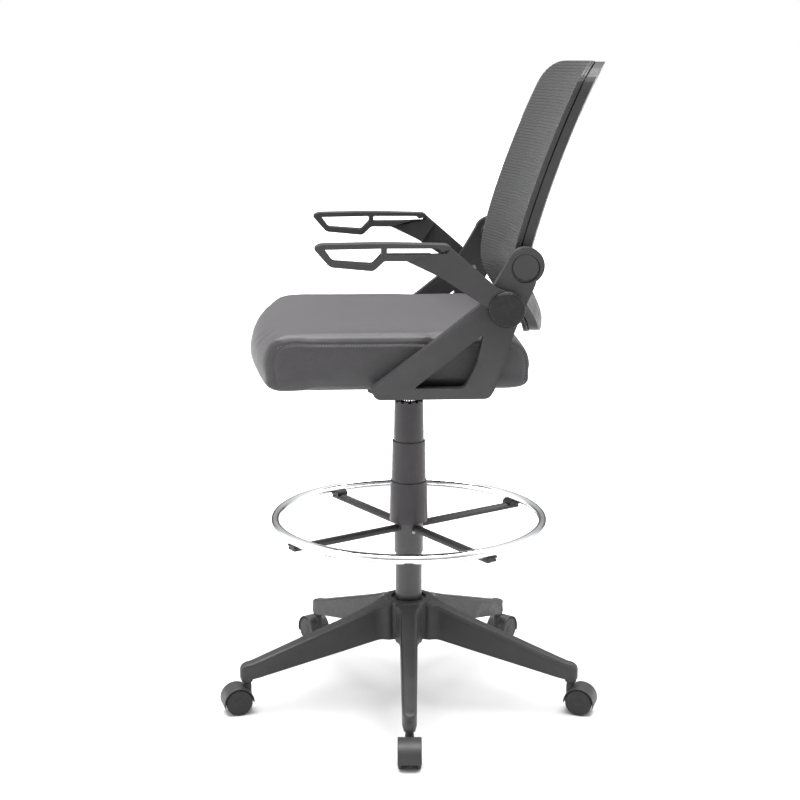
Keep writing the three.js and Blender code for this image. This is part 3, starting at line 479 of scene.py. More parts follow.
def knitted_mesh():
    """Warp-knitted polyester mesh: fine vertical threads cross thick ribs, with small holes between."""
    material, tree, shader, place = blank("knitted_polyester_mesh")
    map_place = node(tree, "ShaderNodeTexCoord").outputs["UV"]
    split = node(tree, "ShaderNodeSeparateXYZ", {0: map_place})
    across = node(tree, "ShaderNodeMath", {0: split.outputs[0], 1: STRETCH_WIDTH / THREAD_PITCH},
                  operation="MULTIPLY").outputs[0]
    up = node(tree, "ShaderNodeMath", {0: split.outputs[1], 1: STRETCH_HEIGHT / RIB_PITCH * 2},
              operation="MULTIPLY").outputs[0]
    column = node(tree, "ShaderNodeMath", {0: across, 1: 1.0}, operation="PINGPONG").outputs[0]
    row = node(tree, "ShaderNodeMath", {0: up, 1: 1.0}, operation="PINGPONG").outputs[0]
    gap = node(tree, "ShaderNodeMath", {0: column, 1: row}, operation="MULTIPLY").outputs[0]
    solid = spread(tree, gap, 0.42, 0.56, 1, 0)
    mottle = noise(tree, place, 18, 3)
    yarn = mixed(tree, mottle, linear(0x1C1C1D), linear(0x282829))
    # Painted shade: round each hole the knit is painted near-black and stays opaque; only the holes' middles
    # are cut out by the alpha.
    tree.links.new(mixed(tree, solid, linear(0x0E0E0F), yarn), shader.inputs["Base Color"])
    tree.links.new(spread(tree, solid, 0, 1, 0.9, 0.7), shader.inputs["Roughness"])
    tree.links.new(spread(tree, gap, 0.86, 0.95, 1, 0), shader.inputs["Alpha"])
    shader.inputs["Sheen Weight"].default_value = 0.03
    bumped(tree, shader, solid, 0.6, 0.3)
    return material


FINISHES = {
    "glass_filled_nylon": moulded("glass_filled_nylon", 0x2A292A, 0.9, 0.06, 0.46),
    "black_plastic": moulded("black_polypropylene", 0x2C2B2C, 0.8, 0.05, 0.44),
    "cap_plastic": moulded("black_abs", 0x0A0A0B, 0.5, 0.02, 0.3),
    "wheel_nylon": moulded("wheel_nylon", 0x202021, 0.6, 0.03, 0.4),
    "sleeve_plastic": moulded("sleeve_polypropylene", 0x312E30, 0.6, 0.02, 0.36),
    "coated_steel": powder_coat(),
    "chrome_plate": chrome(),
    "zinc_steel": zinc(),
    "plywood": plywood(),
    "leatherette": leatherette(),
    "back_mesh_fabric": knitted_mesh(),
}
for part in frame["record"]["subparts"]:
    cad_node = frame["nodes"][part["node"]]
    cad_node.data.materials.clear()
    cad_node.data.materials.append(FINISHES[part["material_slot"]])
THREAD = thread()

# ------------------------------------------------------------------ camera, floor and light

CAMERA_PLACE = COLUMN + Vector((2.7944, -0.1776, 1.188))
CAMERA_TURN = 3.3  # degrees that the view swings towards the back
CAMERA_DROP = 12.4
LENS = 69.75


def camera():
    data = bpy.data.cameras.new("camera")
    data.lens = LENS
    data.clip_end = 100
    eye = bpy.data.objects.new("camera", data)
    eye.location = CAMERA_PLACE
    turn = math.radians(90 - CAMERA_TURN)
    eye.rotation_euler = (math.radians(90 - CAMERA_DROP), 0, turn)
    bpy.context.collection.objects.link(eye)
    bpy.context.scene.camera = eye


def softbox(name, place, target, size, power):
    """A large square lamp that faces a point."""
    data = bpy.data.lights.new(name, "AREA")
    data.shape = "RECTANGLE"
    data.size, data.size_y = size
    data.energy = power
    lamp = bpy.data.objects.new(name, data)
    lamp.location = place
    lamp.rotation_euler = (Vector(target) - Vector(place)).to_track_quat("-Z", "Y").to_euler()
    bpy.context.collection.objects.link(lamp)


def floor():
    """A pale paper floor, wide enough to have no edge in view."""
    bpy.ops.object.select_all(action="DESELECT")
    bpy.ops.mesh.primitive_plane_add(size=60)
    ground = bpy.context.object
    ground.name = "studio_floor"
    material, tree, shader, place = blank("studio_paper")
    shade = spread(tree, noise(tree, place, 300), 0.3, 0.7, 0, 1)
    tree.links.new(mixed(tree, shade, linear(0xC2C2C2), linear(0xC5C5C5)), shader.inputs["Base Color"])
    shader.inputs["Roughness"].default_value = 0.95
    shader.inputs["Specular IOR Level"].default_value = 0.1
    ground.data.materials.append(material)


def surroundings():
    """White to the eye. As light, dim beside the chair and bright above, before and behind it."""
    scene = bpy.context.scene
    scene.view_settings.view_transform = "Standard"
    world = bpy.data.worlds.new("studio")
    world.use_nodes = True
    scene.world = world
    tree = world.node_tree
    tree.nodes.clear()
    look = node(tree, "ShaderNodeTexCoord").outputs["Generated"]
    way = node(tree, "ShaderNodeSeparateXYZ", {0: look})
    above = spread(tree, way.outputs["Z"], 0.1, 0.9, 0.1, 1.4)
    before = spread(tree, way.outputs["Y"], -0.5, -0.9, 0, 1.5)
    behind = spread(tree, way.outputs["Y"], 0.6, 0.95, 0, 1.1)
    ends = node(tree, "ShaderNodeMath", {0: before, 1: behind}, operation="ADD").outputs[0]
    glow = node(tree, "ShaderNodeMath", {0: above, 1: ends}, operation="ADD").outputs[0]
    seen = node(tree, "ShaderNodeLightPath").outputs["Is Camera Ray"]
    strength = node(tree, "ShaderNodeMix", {0: seen, 2: glow, 3: 1.0}, data_type="FLOAT").outputs[0]
    back = node(tree, "ShaderNodeBackground", {"Color": (1, 1, 1, 1), "Strength": strength})
    node(tree, "ShaderNodeOutputWorld", {"Surface": back.outputs[0]})


def daylight(strength, softness):
    """A very soft light from straight above, the same over the whole floor."""
    data = bpy.data.lights.new("overhead", "SUN")
    data.energy = strength
    data.angle = math.radians(softness)
    lamp = bpy.data.objects.new("overhead", data)
    lamp.location = (0, 0, 4)
    bpy.context.collection.objects.link(lamp)


camera()
floor()
surroundings()
daylight(8.2, 60)
softbox("from_the_front", (0.7, -3.2, 1.5), (0, 0, 0.7), (1.4, 2.4), 30)
softbox("from_behind", (0.6, 3.0, 1.9), (0, 0, 0.9), (1.2, 2.4), 18)

# ------------------------------------------------------------------ base star


def leg_half_width(reach):
    """The leg flares where it leaves the hub, and tapers to its tip."""
    root, tip, flare, flare_end = 17, 12.75, 8, 72
    width = root + (tip - root) * (reach - HUB_RADIUS) / (LEG_REACH - HUB_RADIUS)
    if reach < flare_end:
        width += flare * min(1, (flare_end - reach) / (flare_end - HUB_RADIUS)) ** 2
    return width


def leg_top(reach):
    knee, knee_height, tip_height = HUB_RADIUS * 2.5, 160, 95
    if reach < knee:
        share = (knee - reach) / (knee - HUB_RADIUS)
        return knee_height + (HUB[1].z - 4 - knee_height) * share
    share = (reach - knee) / (LEG_REACH - 6 - knee)
    return knee_height + (tip_height - knee_height) * share


def leg_bottom(reach):
    straight, root_height, end_height = HUB_RADIUS + 14, 117, 66
    share = max(0, (reach - straight) / (LEG_REACH - 13 - straight))
    return root_height + (end_height - root_height) * share


def leg_section(reach, half, low, high, corner=7):
    outline = [(-half, low), (-half, high, corner), (half, high, corner), (half, low)]
    return [Vector((reach, p.x, p.y)) for p in rounded(outline, steps=4)]


def lofted(name, sections):
    """Skins a row of sections that have equal numbers of points, one extrusion after another."""
    piece = drawn(name, sections[0])
    bpy.ops.mesh.edge_face_add()
    bpy.ops.mesh.select_all(action="SELECT")
    for _ in sections[1:]:
        bpy.ops.mesh.extrude_region_move(TRANSFORM_OT_translate={"value": (1, 0, 0)})
    bpy.ops.object.mode_set(mode="OBJECT")
    placed = [point for section in sections for point in section]
    for vertex, point in zip(piece.data.vertices, placed):
        vertex.co = point
    bpy.ops.object.mode_set(mode="EDIT")
    return closed_up(piece)


def one_leg():
    tip = LEG_REACH + 12.75
    reaches = [38, 44, 48, 52, 56, 60, 65, 72, 84, 100, 112, 120, 130, 160, 200, 240, 280, 296]
    sections = [
        leg_section(r, leg_half_width(r), leg_bottom(r), leg_top(r)) for r in reaches
    ]
    for share in (0.0, 0.35, 0.6, 0.8, 0.93, 1.0):
        reach = LEG_REACH - 8 + (tip - LEG_REACH + 8) * share
        narrow = math.sqrt(max(0.0, 1 - share**2))
        half = leg_half_width(LEG_REACH) * (0.28 + 0.72 * narrow)
        high = leg_top(LEG_REACH - 8) - 10 * (1 - narrow)
        sections.append(leg_section(reach, half, LEG_TIP_BOTTOM + 7, high, 6))
    leg = lofted("leg", sections)
    boss = turned("tip_boss", rounded([(0, 59), (10.5, 59, 1.5), (12.4, 72), (0, 72)], 3), 32,
                  Matrix.Translation((LEG_REACH, 0, 0)))
    welded(leg, boss)
    wall, first, last, bays = 4, HUB_RADIUS + 24, LEG_REACH - 24, 3
    bay = (last - first) / bays
    for i in range(bays):
        start, end = first + i * bay + wall / 2, first + (i + 1) * bay - wall / 2
        rooms = [
            leg_section(r, leg_half_width(r) - wall, leg_bottom(r) - 20, leg_top(r) - wall, 4)
            for r in (start, (start + end) / 2, end)
        ]
        carved(leg, lofted("pocket", rooms))
    stem_hole = turned("stem_hole", [(0, 40), (5.8, 40), (5.8, 83), (0, 83)], 24,
                       Matrix.Translation((LEG_REACH, 0, 0)))
    return carved(leg, stem_hole)


def base_star():
    bore = TUBE_RADIUS + 0.4
    recess = bore + 7
    low, high = 116, HUB[1].z
    hub = turned("base_star_moulding", rounded([
        (bore, low), (HUB_RADIUS - 1, low, 6), (HUB_RADIUS, high, 12), (recess, high, 1.5),
        (recess, high - 5), (bore, high - 5),
    ], 4), 90)
    leg = eased(one_leg(), 1.2, 2, 38)
    turns = [Matrix.Rotation(math.radians(72 * i), 4, "Z") for i in range(LEGS)]
    legs = [copied(leg, turn) for turn in turns]
    bpy.data.objects.remove(leg)
    joined(hub, *legs)
    hub.data.transform(Matrix.Rotation(math.radians(BASE_TURN), 4, "Z"))
    finished(hub, "glass_filled_nylon", "base", "base_star")


base_star()

# ------------------------------------------------------------------ casters


def across(x, z, y=0.0):
    """Stands a turned piece's axis along Y, through a point."""
    return Matrix.Translation((x, y, z)) @ Matrix.Rotation(math.radians(-90), 4, "X")


def arc_band(outer, inner, start, end, steps=28):
    """The outline of a band round the wheels, between two angles from +X."""
    turns = [math.radians(start + (end - start) * i / steps) for i in range(steps + 1)]
    out = [Vector((CASTER_TRAIL + outer * math.cos(a), WHEEL_RADIUS + outer * math.sin(a))) for a in turns]
    back = [Vector((CASTER_TRAIL + inner * math.cos(a), WHEEL_RADIUS + inner * math.sin(a))) for a in turns]
    return out + back[::-1]


def caster_hood():
    outer, inner, half = 28.4, 26.1, 20.8
    band = prism("caster_hood", front_on(arc_band(outer, inner, -19, 182), -half), Vector((0, 2 * half, 0)))
    eased(band, 1.1, 3, 50)
    web = prism("web", front_on(arc_band(outer - 1, 6, -12, 178), -3), Vector((0, 6, 0)))
    neck = turned("neck", rounded([
        (0, 26), (8, 26, 1), (8, 50), (7.4, 55, 1), (7.4, LEG_TIP_BOTTOM - 1.6, 1), (0, LEG_TIP_BOTTOM - 1.6),
    ], 3), 36)
    hub = turned("axle_hub", rounded([(3.2, -7), (7, -7, 1), (7, 7, 1), (3.2, 7)], 2), 32,
                 across(CASTER_TRAIL, WHEEL_RADIUS))
    hood = welded(band, web, neck, hub)
    return hood


def caster_wheel(side):
    """A nylon wheel with a rounded tread, a dished face and a moulded cap."""
    inner, outer, r = 11, 20.4, WHEEL_RADIUS
    profile = [
        (3.4, 6.5), (6.6, 6.5, 0.6), (7.4, inner), (r - 3, inner, 0.5), (r, inner + 2, 2),
        (r, outer - 1.6, 1.6), (r - 2.2, outer, 1), (r - 3.4, outer - 0.9, 0.6), (9.4, outer - 0.9, 0.5),
        (8.6, outer - 0.2, 0.6), (0, outer - 0.1), (0, outer - 3.2), (3.4, outer - 3.2),
    ]
    wheel = turned("caster_wheel", rounded(profile, 3), 64)
    if side < 0:
        wheel.data.transform(Matrix.Rotation(math.pi, 4, "X"))
    wheel.data.transform(across(CASTER_TRAIL, WHEEL_RADIUS))
    return wheel


def caster_stem():
    return turned("caster_stem", rounded([
        (0, 30), (5.5, 30, 0.8), (5.5, 66, 0.8), (4.8, 67), (4.8, 69), (5.5, 70), (5.5, 82, 1.5), (0, 82),
    ], 2), 32)


def caster_axle():
    return turned("caster_axle", [(0, -16.9), (2.6, -16.9), (3, -16.4), (3, 16.4), (2.6, 16.9), (0, 16.9)],
                  24, across(CASTER_TRAIL, WHEEL_RADIUS))


def casters():
    hood, stem, axle = caster_hood(), caster_stem(), caster_axle()
    wheels = {"a": caster_wheel(1), "b": caster_wheel(-1)}
    for number in range(1, LEGS + 1):
        turn = Matrix.Rotation(math.radians(BASE_TURN + 72 * (number - 1)), 4, "Z")
        place = turn @ Matrix.Translation((LEG_REACH, 0, 0))
        body = f"caster_{number}"
        pieces = [
            (hood, "hood", "black_plastic", body, f"caster_hood_{number}"),
            (stem, "stem", "zinc_steel", body_of(f"caster_stem_{number}"), f"caster_stem_{number}"),
            (axle, "axle", "zinc_steel", body_of(f"caster_axle_{number}"), f"caster_axle_{number}"),
        ]
        for word, wheel in wheels.items():
            target = f"caster_wheel_{number}_{word}"
            pieces.append((wheel, f"wheel_{word}", "wheel_nylon", body_of(target), target))
        for pattern, name, slot, rides_on, target in pieces:
            piece = copied(pattern, place)
            piece.name = f"caster_{name}_{number}_moulding"
            finished(piece, slot, rides_on, target)
    for pattern in (hood, stem, axle, *wheels.values()):
        bpy.data.objects.remove(pattern)


def body_of(name):
    """The body that a CAD node belongs to."""
    bodies = frame["record"]["behaviour"]["bodies"]
    return next(body for body, members in bodies.items() if name in members)


casters()

# ------------------------------------------------------------------ gas lift and its covers


def lathe_piece(node_name, slot, profile, steps=72, corner_steps=3):
    piece = turned(node_name + "_turned", rounded(profile, corner_steps), steps)
    return finished(piece, slot, body_of(node_name), node_name)


def cover(node_name, notched=False):
    """A telescopic cover: a thin tapered tube with a rolled rim."""
    low, high = extent(node_name)
    foot = (high.x - low.x) / 2
    top, wall = foot - 1.6, 1.4
    profile = [
        (foot - wall, low.z), (foot, low.z, 0.4), (top + 0.15, high.z - 4), (top + 0.1, high.z, 1.1),
        (top - wall, high.z, 0.3),
    ]
    piece = turned(node_name + "_moulded", rounded(profile, 3), 96)
    if notched:
        notch = [(top - 4, -2.6), (top + 4, -2.6), (top + 4, 2.6), (top - 4, 2.6)]
        for i in range(12):
            turn = Matrix.Rotation(math.radians(30 * i), 4, "Z")
            cutter = prism("notch", plan([Vector(p) for p in notch], high.z - 3.4), Vector((0, 0, 6)))
            cutter.data.transform(turn)
            carved(piece, cutter)
        eased(piece, 0.25, 2, 50)
    return finished(piece, "sleeve_plastic", body_of(node_name), node_name)


def lower_cover():
    low, high = extent("lower_cover_sleeve")
    foot = (high.x - low.x) / 2
    top, wall, bore = foot - 1.6, 1.4, TUBE_RADIUS + 0.3
    lathe_piece("lower_cover_sleeve", "sleeve_plastic", [
        (bore, low.z), (foot, low.z, 1.2), (top + 0.1, high.z, 1.1), (top - wall, high.z, 0.3),
        (foot - wall, low.z + 2), (bore, low.z + 2),
    ], 96)


def lift_column():
    low, high = TUBE
    wall, floor_height = 2, low.z + 4
    lathe_piece("gas_lift_tube", "coated_steel", [
        (4, low.z), (TUBE_RADIUS, low.z, 1.5), (TUBE_RADIUS, high.z, 0.6), (TUBE_RADIUS - wall, high.z, 0.6),
        (TUBE_RADIUS - wall, floor_height), (4, floor_height),
    ])
    bush_low, bush_high = extent("gas_lift_guide_bush")
    inside, bore = TUBE_RADIUS - 2.3, 14.3
    lathe_piece("gas_lift_guide_bush", "black_plastic", [
        (bore, bush_low.z, 0.5), (inside, bush_low.z, 0.5), (inside, high.z + 0.3),
        (TUBE_RADIUS - 0.3, high.z + 0.3), (TUBE_RADIUS - 1.3, bush_high.z, 0.8), (bore, bush_high.z, 0.8),
    ])
    rod_low, rod_high = extent("gas_lift_cylinder")
    lathe_piece("gas_lift_cylinder", "chrome_plate", [
        (0, rod_high.z), (13.2, rod_high.z, 1), (14, rod_high.z - 16), (14, rod_low.z, 1.5), (5.3, rod_low.z),
        (5.3, rod_low.z + 10), (11, rod_low.z + 10), (11, rod_high.z - 12), (0, rod_high.z - 12),
    ])
    lower_cover()
    cover("middle_cover_sleeve")
    cover("upper_cover_sleeve", notched=True)


lift_column()

# ------------------------------------------------------------------ foot ring


def ring_tube():
    """A hoop of chromed tube, its butt weld ground nearly flush."""
    section = circle(RING_RADIUS, RING_HEIGHT, RING_TUBE, 24)
    hoop = turned("foot_ring_hoop", [tuple(p) for p in section], 144)
    finished(hoop, "chrome_plate", "foot_ring", "foot_ring_tube", smooth=60)


def spoke_pattern():
    """A pressed rail: a low crown on top, a lip along each edge and an open channel below."""
    start, end, top = 27.6, RING_RADIUS + 5, RING_HEIGHT - RING_TUBE - 0.3
    half, thick = 10.5, 9.4
    rail = [
        (-half, top - thick, 1), (-half, top - 4, 3), (-4.5, top, 2), (4.5, top, 2), (half, top - 4, 3),
        (half, top - thick, 1), (half - 2.4, top - thick, 0.6), (half - 2.4, top - 4.6, 1.6),
        (-half + 2.4, top - 4.6, 1.6), (-half + 2.4, top - thick, 0.6),
    ]
    section = [Vector((start, p.x, p.y)) for p in rounded(rail, 3)]
    spoke = prism("spoke", section, Vector((end - start, 0, 0)))
    nose = prism("nose", plan(rounded([
        (end - 34, -half), (end, -half, 8), (end, half, 8), (end - 34, half),
    ], 5), top - thick + 0.4), Vector((0, 0, thick - 4.4)))
    return eased(welded(spoke, nose), 0.5, 2, 40)


def spoke_fastening():
    """The saddle that grips the hoop at the spoke's end, with its screw head below."""
    top = RING_HEIGHT - RING_TUBE
    length, half, set_in = 25, 11.4, 6
    inner_end, outer_end = -length / 2 - set_in, length / 2 - set_in
    side = rounded([(inner_end, top - 3, 1.5), (inner_end, top + 3, 1.5), (-RING_TUBE - 1.5, top + 8.5, 1.5),
                    (-RING_TUBE * 0.5, top + 3), (0, top + 0.9), (outer_end, top + 1.6, 1),
                    (outer_end, top - 3, 1.5)], 3)
    saddle = prism("saddle", front_on([Vector((p.x + RING_RADIUS, p.y)) for p in side], -half),
                   Vector((0, 2 * half, 0)))
    hoop_room = prism("room", front_on(circle(RING_RADIUS, RING_HEIGHT, RING_TUBE + 0.2, 40), -20),
                      Vector((0, 40, 0)))
    carved(saddle, hoop_room)
    eased(saddle, 0.6, 2, 40)
    screw = turned("screw", rounded([
        (0, top - 11.6), (1.2, top - 11.6), (1.5, top - 12.4), (4.4, top - 11.9, 1.5), (4.6, top - 9.7),
        (0, top - 9.7),
    ], 3), 32, Matrix.Translation((RING_RADIUS - 4, 0, 0)))
    return saddle, screw


def spokes():
    spoke = spoke_pattern()
    saddle, screw = spoke_fastening()
    for i in range(4):
        turn = Matrix.Rotation(math.radians(SPOKE_TURN + 90 * i), 4, "Z")
        rail = copied(spoke, turn)
        rail.name = f"foot_ring_spoke_rail_{i + 1}"
        finished(rail, "black_plastic", "foot_ring", f"foot_ring_spoke_{i + 1}")
        grip = copied(saddle, turn)
        grip.name = f"spoke_saddle_{i + 1}"
        finished(grip, "cap_plastic", "foot_ring")
        head = copied(screw, turn)
        head.name = f"spoke_screw_{i + 1}"
        finished(head, "cap_plastic", "foot_ring")
    for pattern in (spoke, saddle, screw):
        bpy.data.objects.remove(pattern)


def collar():
    """A pressed steel collar with rolled ends, a clamp boss and a pinch screw by each spoke."""
    low, high = 281, 342.4
    bore, outer = TUBE_RADIUS + 0.3, TUBE_RADIUS + 2.3
    body = turned("foot_ring_collar_tube", rounded([
        (bore, low), (outer, low, 0.8), (outer, high, 0.8), (bore, high),
    ], 3), 96)
    height = low + 20
    boss = turned("boss", [(0, 0), (8, 0), (8, 9), (7, 10), (0, 10)], 32,
                  Matrix.Translation((-outer + 3, 0, height)) @ Matrix.Rotation(math.radians(-90), 4, "Y"))
    welded(body, boss)
    well = turned("well", [(0, low - 5), (bore, low - 5), (bore, high + 5), (0, high + 5)], 96)
    hole = turned("hole", [(0, -5), (3.5, -5), (3.5, 30), (0, 30)], 24,
                  Matrix.Translation((-bore + 2, 0, height)) @ Matrix.Rotation(math.radians(-90), 4, "Y"))
    carved(body, well, hole)
    finished(body, "coated_steel", "foot_ring", "foot_ring_collar")
    screw = turned("pinch_screw", rounded([
        (0, 0), (3.4, 0), (3.2, 1.6, 0.8), (1.6, 1.8), (1.4, 0.9), (0, 0.9)], 2), 24)
    for i in range(4):
        angle = SPOKE_TURN + 45 + 90 * i
        way_round = Matrix.Rotation(math.radians(angle - 60), 4, "Z")
        face_out = Matrix.Rotation(math.radians(90), 4, "Y")
        place = way_round @ Matrix.Translation((outer - 0.1, 0, high - 17)) @ face_out
        head = copied(screw, place)
        head.name = f"collar_screw_{i + 1}"
        finished(head, "zinc_steel", "foot_ring")
    bpy.data.objects.remove(screw)


ring_tube()
spokes()
collar()
refined("foot_ring_clamp_knob", "black_plastic", "clamp_knob", 0.8)

# ------------------------------------------------------------------ mechanism under the seat

refined("tilt_mechanism_housing", "coated_steel", "mechanism", 0.6)
refined("seat_plate", "coated_steel", "seat", 0.6)
refined("tilt_tension_knob", "black_plastic", "tension_knob", 1.2)
refined("height_lever", "black_plastic", "lift_lever", 1.4)
refined("seat_board", "plywood", "seat", 1.0)


def turned_under():
    """The cover's cloth, wrapped over the board's edge and closed below by a black dust cover."""
    low, high = extent("seat_board")
    out, thick = 0.8, 0.7
    corners = [(low.x - out, low.y - out, 24), (high.x + out, low.y - out, 24),
               (high.x + out, high.y + out, 24), (low.x - out, high.y + out, 24)]
    rise = Vector((0, 0, high.z - low.z + thick))
    cloth = prism("seat_dust_cover", plan(rounded(corners, 8), low.z - thick), rise)
    eased(cloth, 0.6, 2, 40)
    finished(cloth, "leatherette", "seat")


turned_under()

# ------------------------------------------------------------------ side brackets


def bracket_outline():
    return rounded([
        (-82, 650, 6), (-72, 631.5, 9), (118, 631.5, 9), (127, 647, 5), (159, 745, 12), (178, 790, 12),
        (BOSS.y + 19, BOSS.z - 24, 10), (BOSS.y - 10, BOSS.z + 14), (BOSS.y - 25, BOSS.z + 16),
        (124, 823, 8), (104, 792, 12), (34, 736.5, 6),
    ])


def near_path(place, path, reach):
    """Whether a place is within reach of a path drawn in Y and Z."""
    spot = place.yz
    for here, there in zip(path, path[1:]):
        along = there - here
        share = min(1, max(0, (spot - here).dot(along) / along.length_squared))
        if (spot - here - along * share).length < reach:
            return True
    return False


def bracket(side, word):
    inner, outer = side * 248, side * 269
    boss_radius, hub_radius = 30.5, 28.5
    plate = slab(f"side_bracket_{word}_moulding", bracket_outline(), inner, outer)
    along_arm = [Vector(p) for p in ((BOSS.y - 25, BOSS.z + 16), (124, 823), (104, 792), (34, 736.5))]
    along_leg = [Vector(p) for p in ((34, 736.5), (-82, 650))]
    chamfered(plate, 7, lambda place: abs(place.x - outer) < 0.1 and near_path(place, along_arm, 4))
    chamfered(plate, 3, lambda place: abs(place.x - outer) < 0.1 and near_path(place, along_leg, 3))
    boss = slab("boss", circle(BOSS.y, BOSS.z, boss_radius, 64), inner, outer)
    hub = slab("hub", circle(PIVOT.y, PIVOT.z, hub_radius, 64), inner, outer)
    welded(plate, boss, hub)
    window = slab("window", rounded([
        (108, 742, 8), (-9, 650.5, 7), (76, 649.5, 9), (96, 690, 10),
    ]), inner - side, outer + side)
    carved(plate, window)
    eased(plate, 2.2, 3, 40)
    foot_points = [(190, -60, 10), (262, -64), (262, 108), (190, 100, 10)]
    foot = prism("foot", plan(rounded([(side * x, y, *r) for x, y, *r in foot_points]), 631.5),
                 Vector((0, 0, 8.8)))
    eased(foot, 1.2, 2, 40)
    lug = slab("lug", circle(BOSS.y, BOSS.z, 20, 48), side * 231, side * 250)
    welded(plate, foot, lug)
    cap_drop = 4.5
    recess = slab("recess", circle(BOSS.y - 1, BOSS.z - cap_drop, 24, 64), outer - side * 4, outer + side)
    pin_hole = slab("pin_hole", circle(PIVOT.y, PIVOT.z, 6.4, 32), inner - side, outer + side)
    carved(plate, recess, pin_hole)
    finished(plate, "black_plastic", "seat", f"side_bracket_{word}")
    cap = slab(f"back_boss_cap_{word}_moulding", circle(BOSS.y - 1, BOSS.z - cap_drop + 2.4, 21.4, 64),
               outer - side * 3.6, outer - side * 0.2)
    eased(cap, 0.8, 3, 40)
    finished(cap, "black_plastic", "seat", f"back_boss_cap_{word}")


def pivot_cap(side, word):
    """The cap over the arm's pivot: a near-black glossy button with a bead round its rim, which shines partly
    by its gloss and partly by the plastic's painted edge highlight.
    """
    low, high = extent(f"arm_pivot_cap_{word}")
    near = low.x if side > 0 else high.x
    radius, thick = (high.y - low.y) / 2, high.x - low.x
    profile = [(0, 0), (radius, 0, 0.6), (radius, thick - 1.6, 0.9), (radius - 1.4, thick - 0.5, 0.5),
               (radius - 2.4, thick - 0.9, 0.4), (radius - 3.2, thick, 0.8), (0, thick - 0.3)]
    turn = Matrix.Rotation(math.radians(90 * side), 4, "Y")
    cap = turned(f"arm_pivot_cap_{word}_moulding", rounded(profile, 3), 96,
                 Matrix.Translation((near, PIVOT.y, PIVOT.z)) @ turn)
    finished(cap, "cap_plastic", body_of(f"arm_pivot_cap_{word}"), f"arm_pivot_cap_{word}")


def arm(side, word):
    """A loop-shaped pad on a flat beam, moulded in one."""
    top, bar = 894, 7
    inner_face, outer_face = 269.5, 283
    pad_inner, pad_outer = ARM[0].x, ARM[1].x
    pad = slab(f"arm_{word}_moulding", rounded([
        (-174, top - 6, 5), (-163, top, 5), (-60, top + 1.5, 30), (46, top - 1.5, 6), (53, top - 8, 4),
        (-18, 866, 4), (-58, 866.5, 3), (-76, 850, 5), (-147, 857, 6),
    ], 4), side * pad_inner, side * pad_outer)
    front_window = slab("front_window", rounded([
        (-157, top - bar - 1.5, 3), (-63, top - bar, 2), (-63, top - 17.5, 1),
        (-78, top - 33, 4), (-143, top - 28, 4),
    ], 3), side * (pad_inner - 2), side * (pad_outer + 2))
    slot = slab("slot", rounded([
        (-54, top - bar, 2), (30, top - bar - 0.5, 2), (41, top - 17.5, 1), (-54, top - 17.5, 1),
    ], 3), side * (pad_inner - 2), side * (pad_outer + 2))
    carved(pad, front_window, slot)
    eased(pad, 1.8, 3, 40)
    beam = slab("beam", rounded([
        (-24, 867), (34, 839, 10), (PIVOT.y - 30, PIVOT.z + 2), (PIVOT.y, PIVOT.z - 20),
        (PIVOT.y + 16, PIVOT.z + 24), (128, 820), (50, top - 6, 6), (44, top - 16), (-18, top - 18),
    ], 4), side * inner_face, side * outer_face)
    eye = slab("eye", circle(PIVOT.y, PIVOT.z, 29.5, 64), side * inner_face, side * outer_face)
    welded(beam, eye)
    eased(beam, 1.6, 3, 40)
    shoulder = slab("shoulder", rounded([
        (-18, 866.5), (34, 840), (43, 835, 3), (68, 871, 4), (50, top - 8), (42, top - 17),
    ], 3), side * (pad_inner + 6), side * (inner_face + 1))
    eased(shoulder, 1.6, 2, 40)
    welded(pad, beam, shoulder)
    pin_hole = slab("pin_hole", circle(PIVOT.y, PIVOT.z, 6.6, 32),
                    side * (inner_face - 2), side * (outer_face - 3))
    carved(pad, pin_hole)
    finished(pad, "black_plastic", f"arm_{word}", f"arm_{word}")


for side, word in ((1, "left"), (-1, "right")):
    bracket(side, word)
    pivot_cap(side, word)
    arm(side, word)

# ------------------------------------------------------------------ seat cushion

SEAT_SWELL = 4  # the foam is cut this much small, and the cover swells out to size
COVER_LOW = CUSHION[0].z + 0.4


def cushion_section(x, half):
    """The cushion's outline in Y and Z at an X, between its middle and its side panel."""
    middle_outline = [
        (-238, 641, 10), (-278, 645, 24), (-298, 696, 44), (-270, 737, 44), (-110, 738, 70),
        (158, 737.5, 40), (200, 704, 44), (192, 641, 18), (-150, 643, 20),
    ]
    panel_outline = [
        (-228, 640.5, 6), (-255, 645, 12), (-263, 700, 30), (-248, 738.5, 32), (-110, 738.5, 60),
        (156, 737.5, 38), (197, 704, 42), (189, 643, 16), (-150, 645.5, 30),
    ]
    share = (abs(x) / half) ** 3
    outline = [
        tuple(a + (b - a) * share for a, b in zip(near, far))
        for near, far in zip(middle_outline, panel_outline)
    ]
    return [Vector((x, p.x, p.y)) for p in rounded(outline, 6)]


def swollen(piece, pressure, cap):
    """Blows a cover up with cloth under pressure, no point moving further than a cap in millimetres."""
    before = [vertex.co.copy() for vertex in piece.data.vertices]
    piece.data.transform(Matrix.Scale(MM, 4))
    alone(piece)
    cloth = piece.modifiers.new("cloth", "CLOTH")
    cloth.settings.use_pressure = True
    cloth.settings.uniform_pressure_force = pressure
    cloth.settings.effector_weights.gravity = 0
    for moment in range(1, 21):
        bpy.context.scene.frame_set(moment)
    bpy.ops.object.modifier_apply(modifier=cloth.name)
    bpy.context.scene.frame_set(1)
    piece.data.transform(Matrix.Scale(1 / MM, 4))
    for vertex, start in zip(piece.data.vertices, before):
        move = vertex.co - start
        if move.length > cap:
            vertex.co = start + move.normalized() * cap


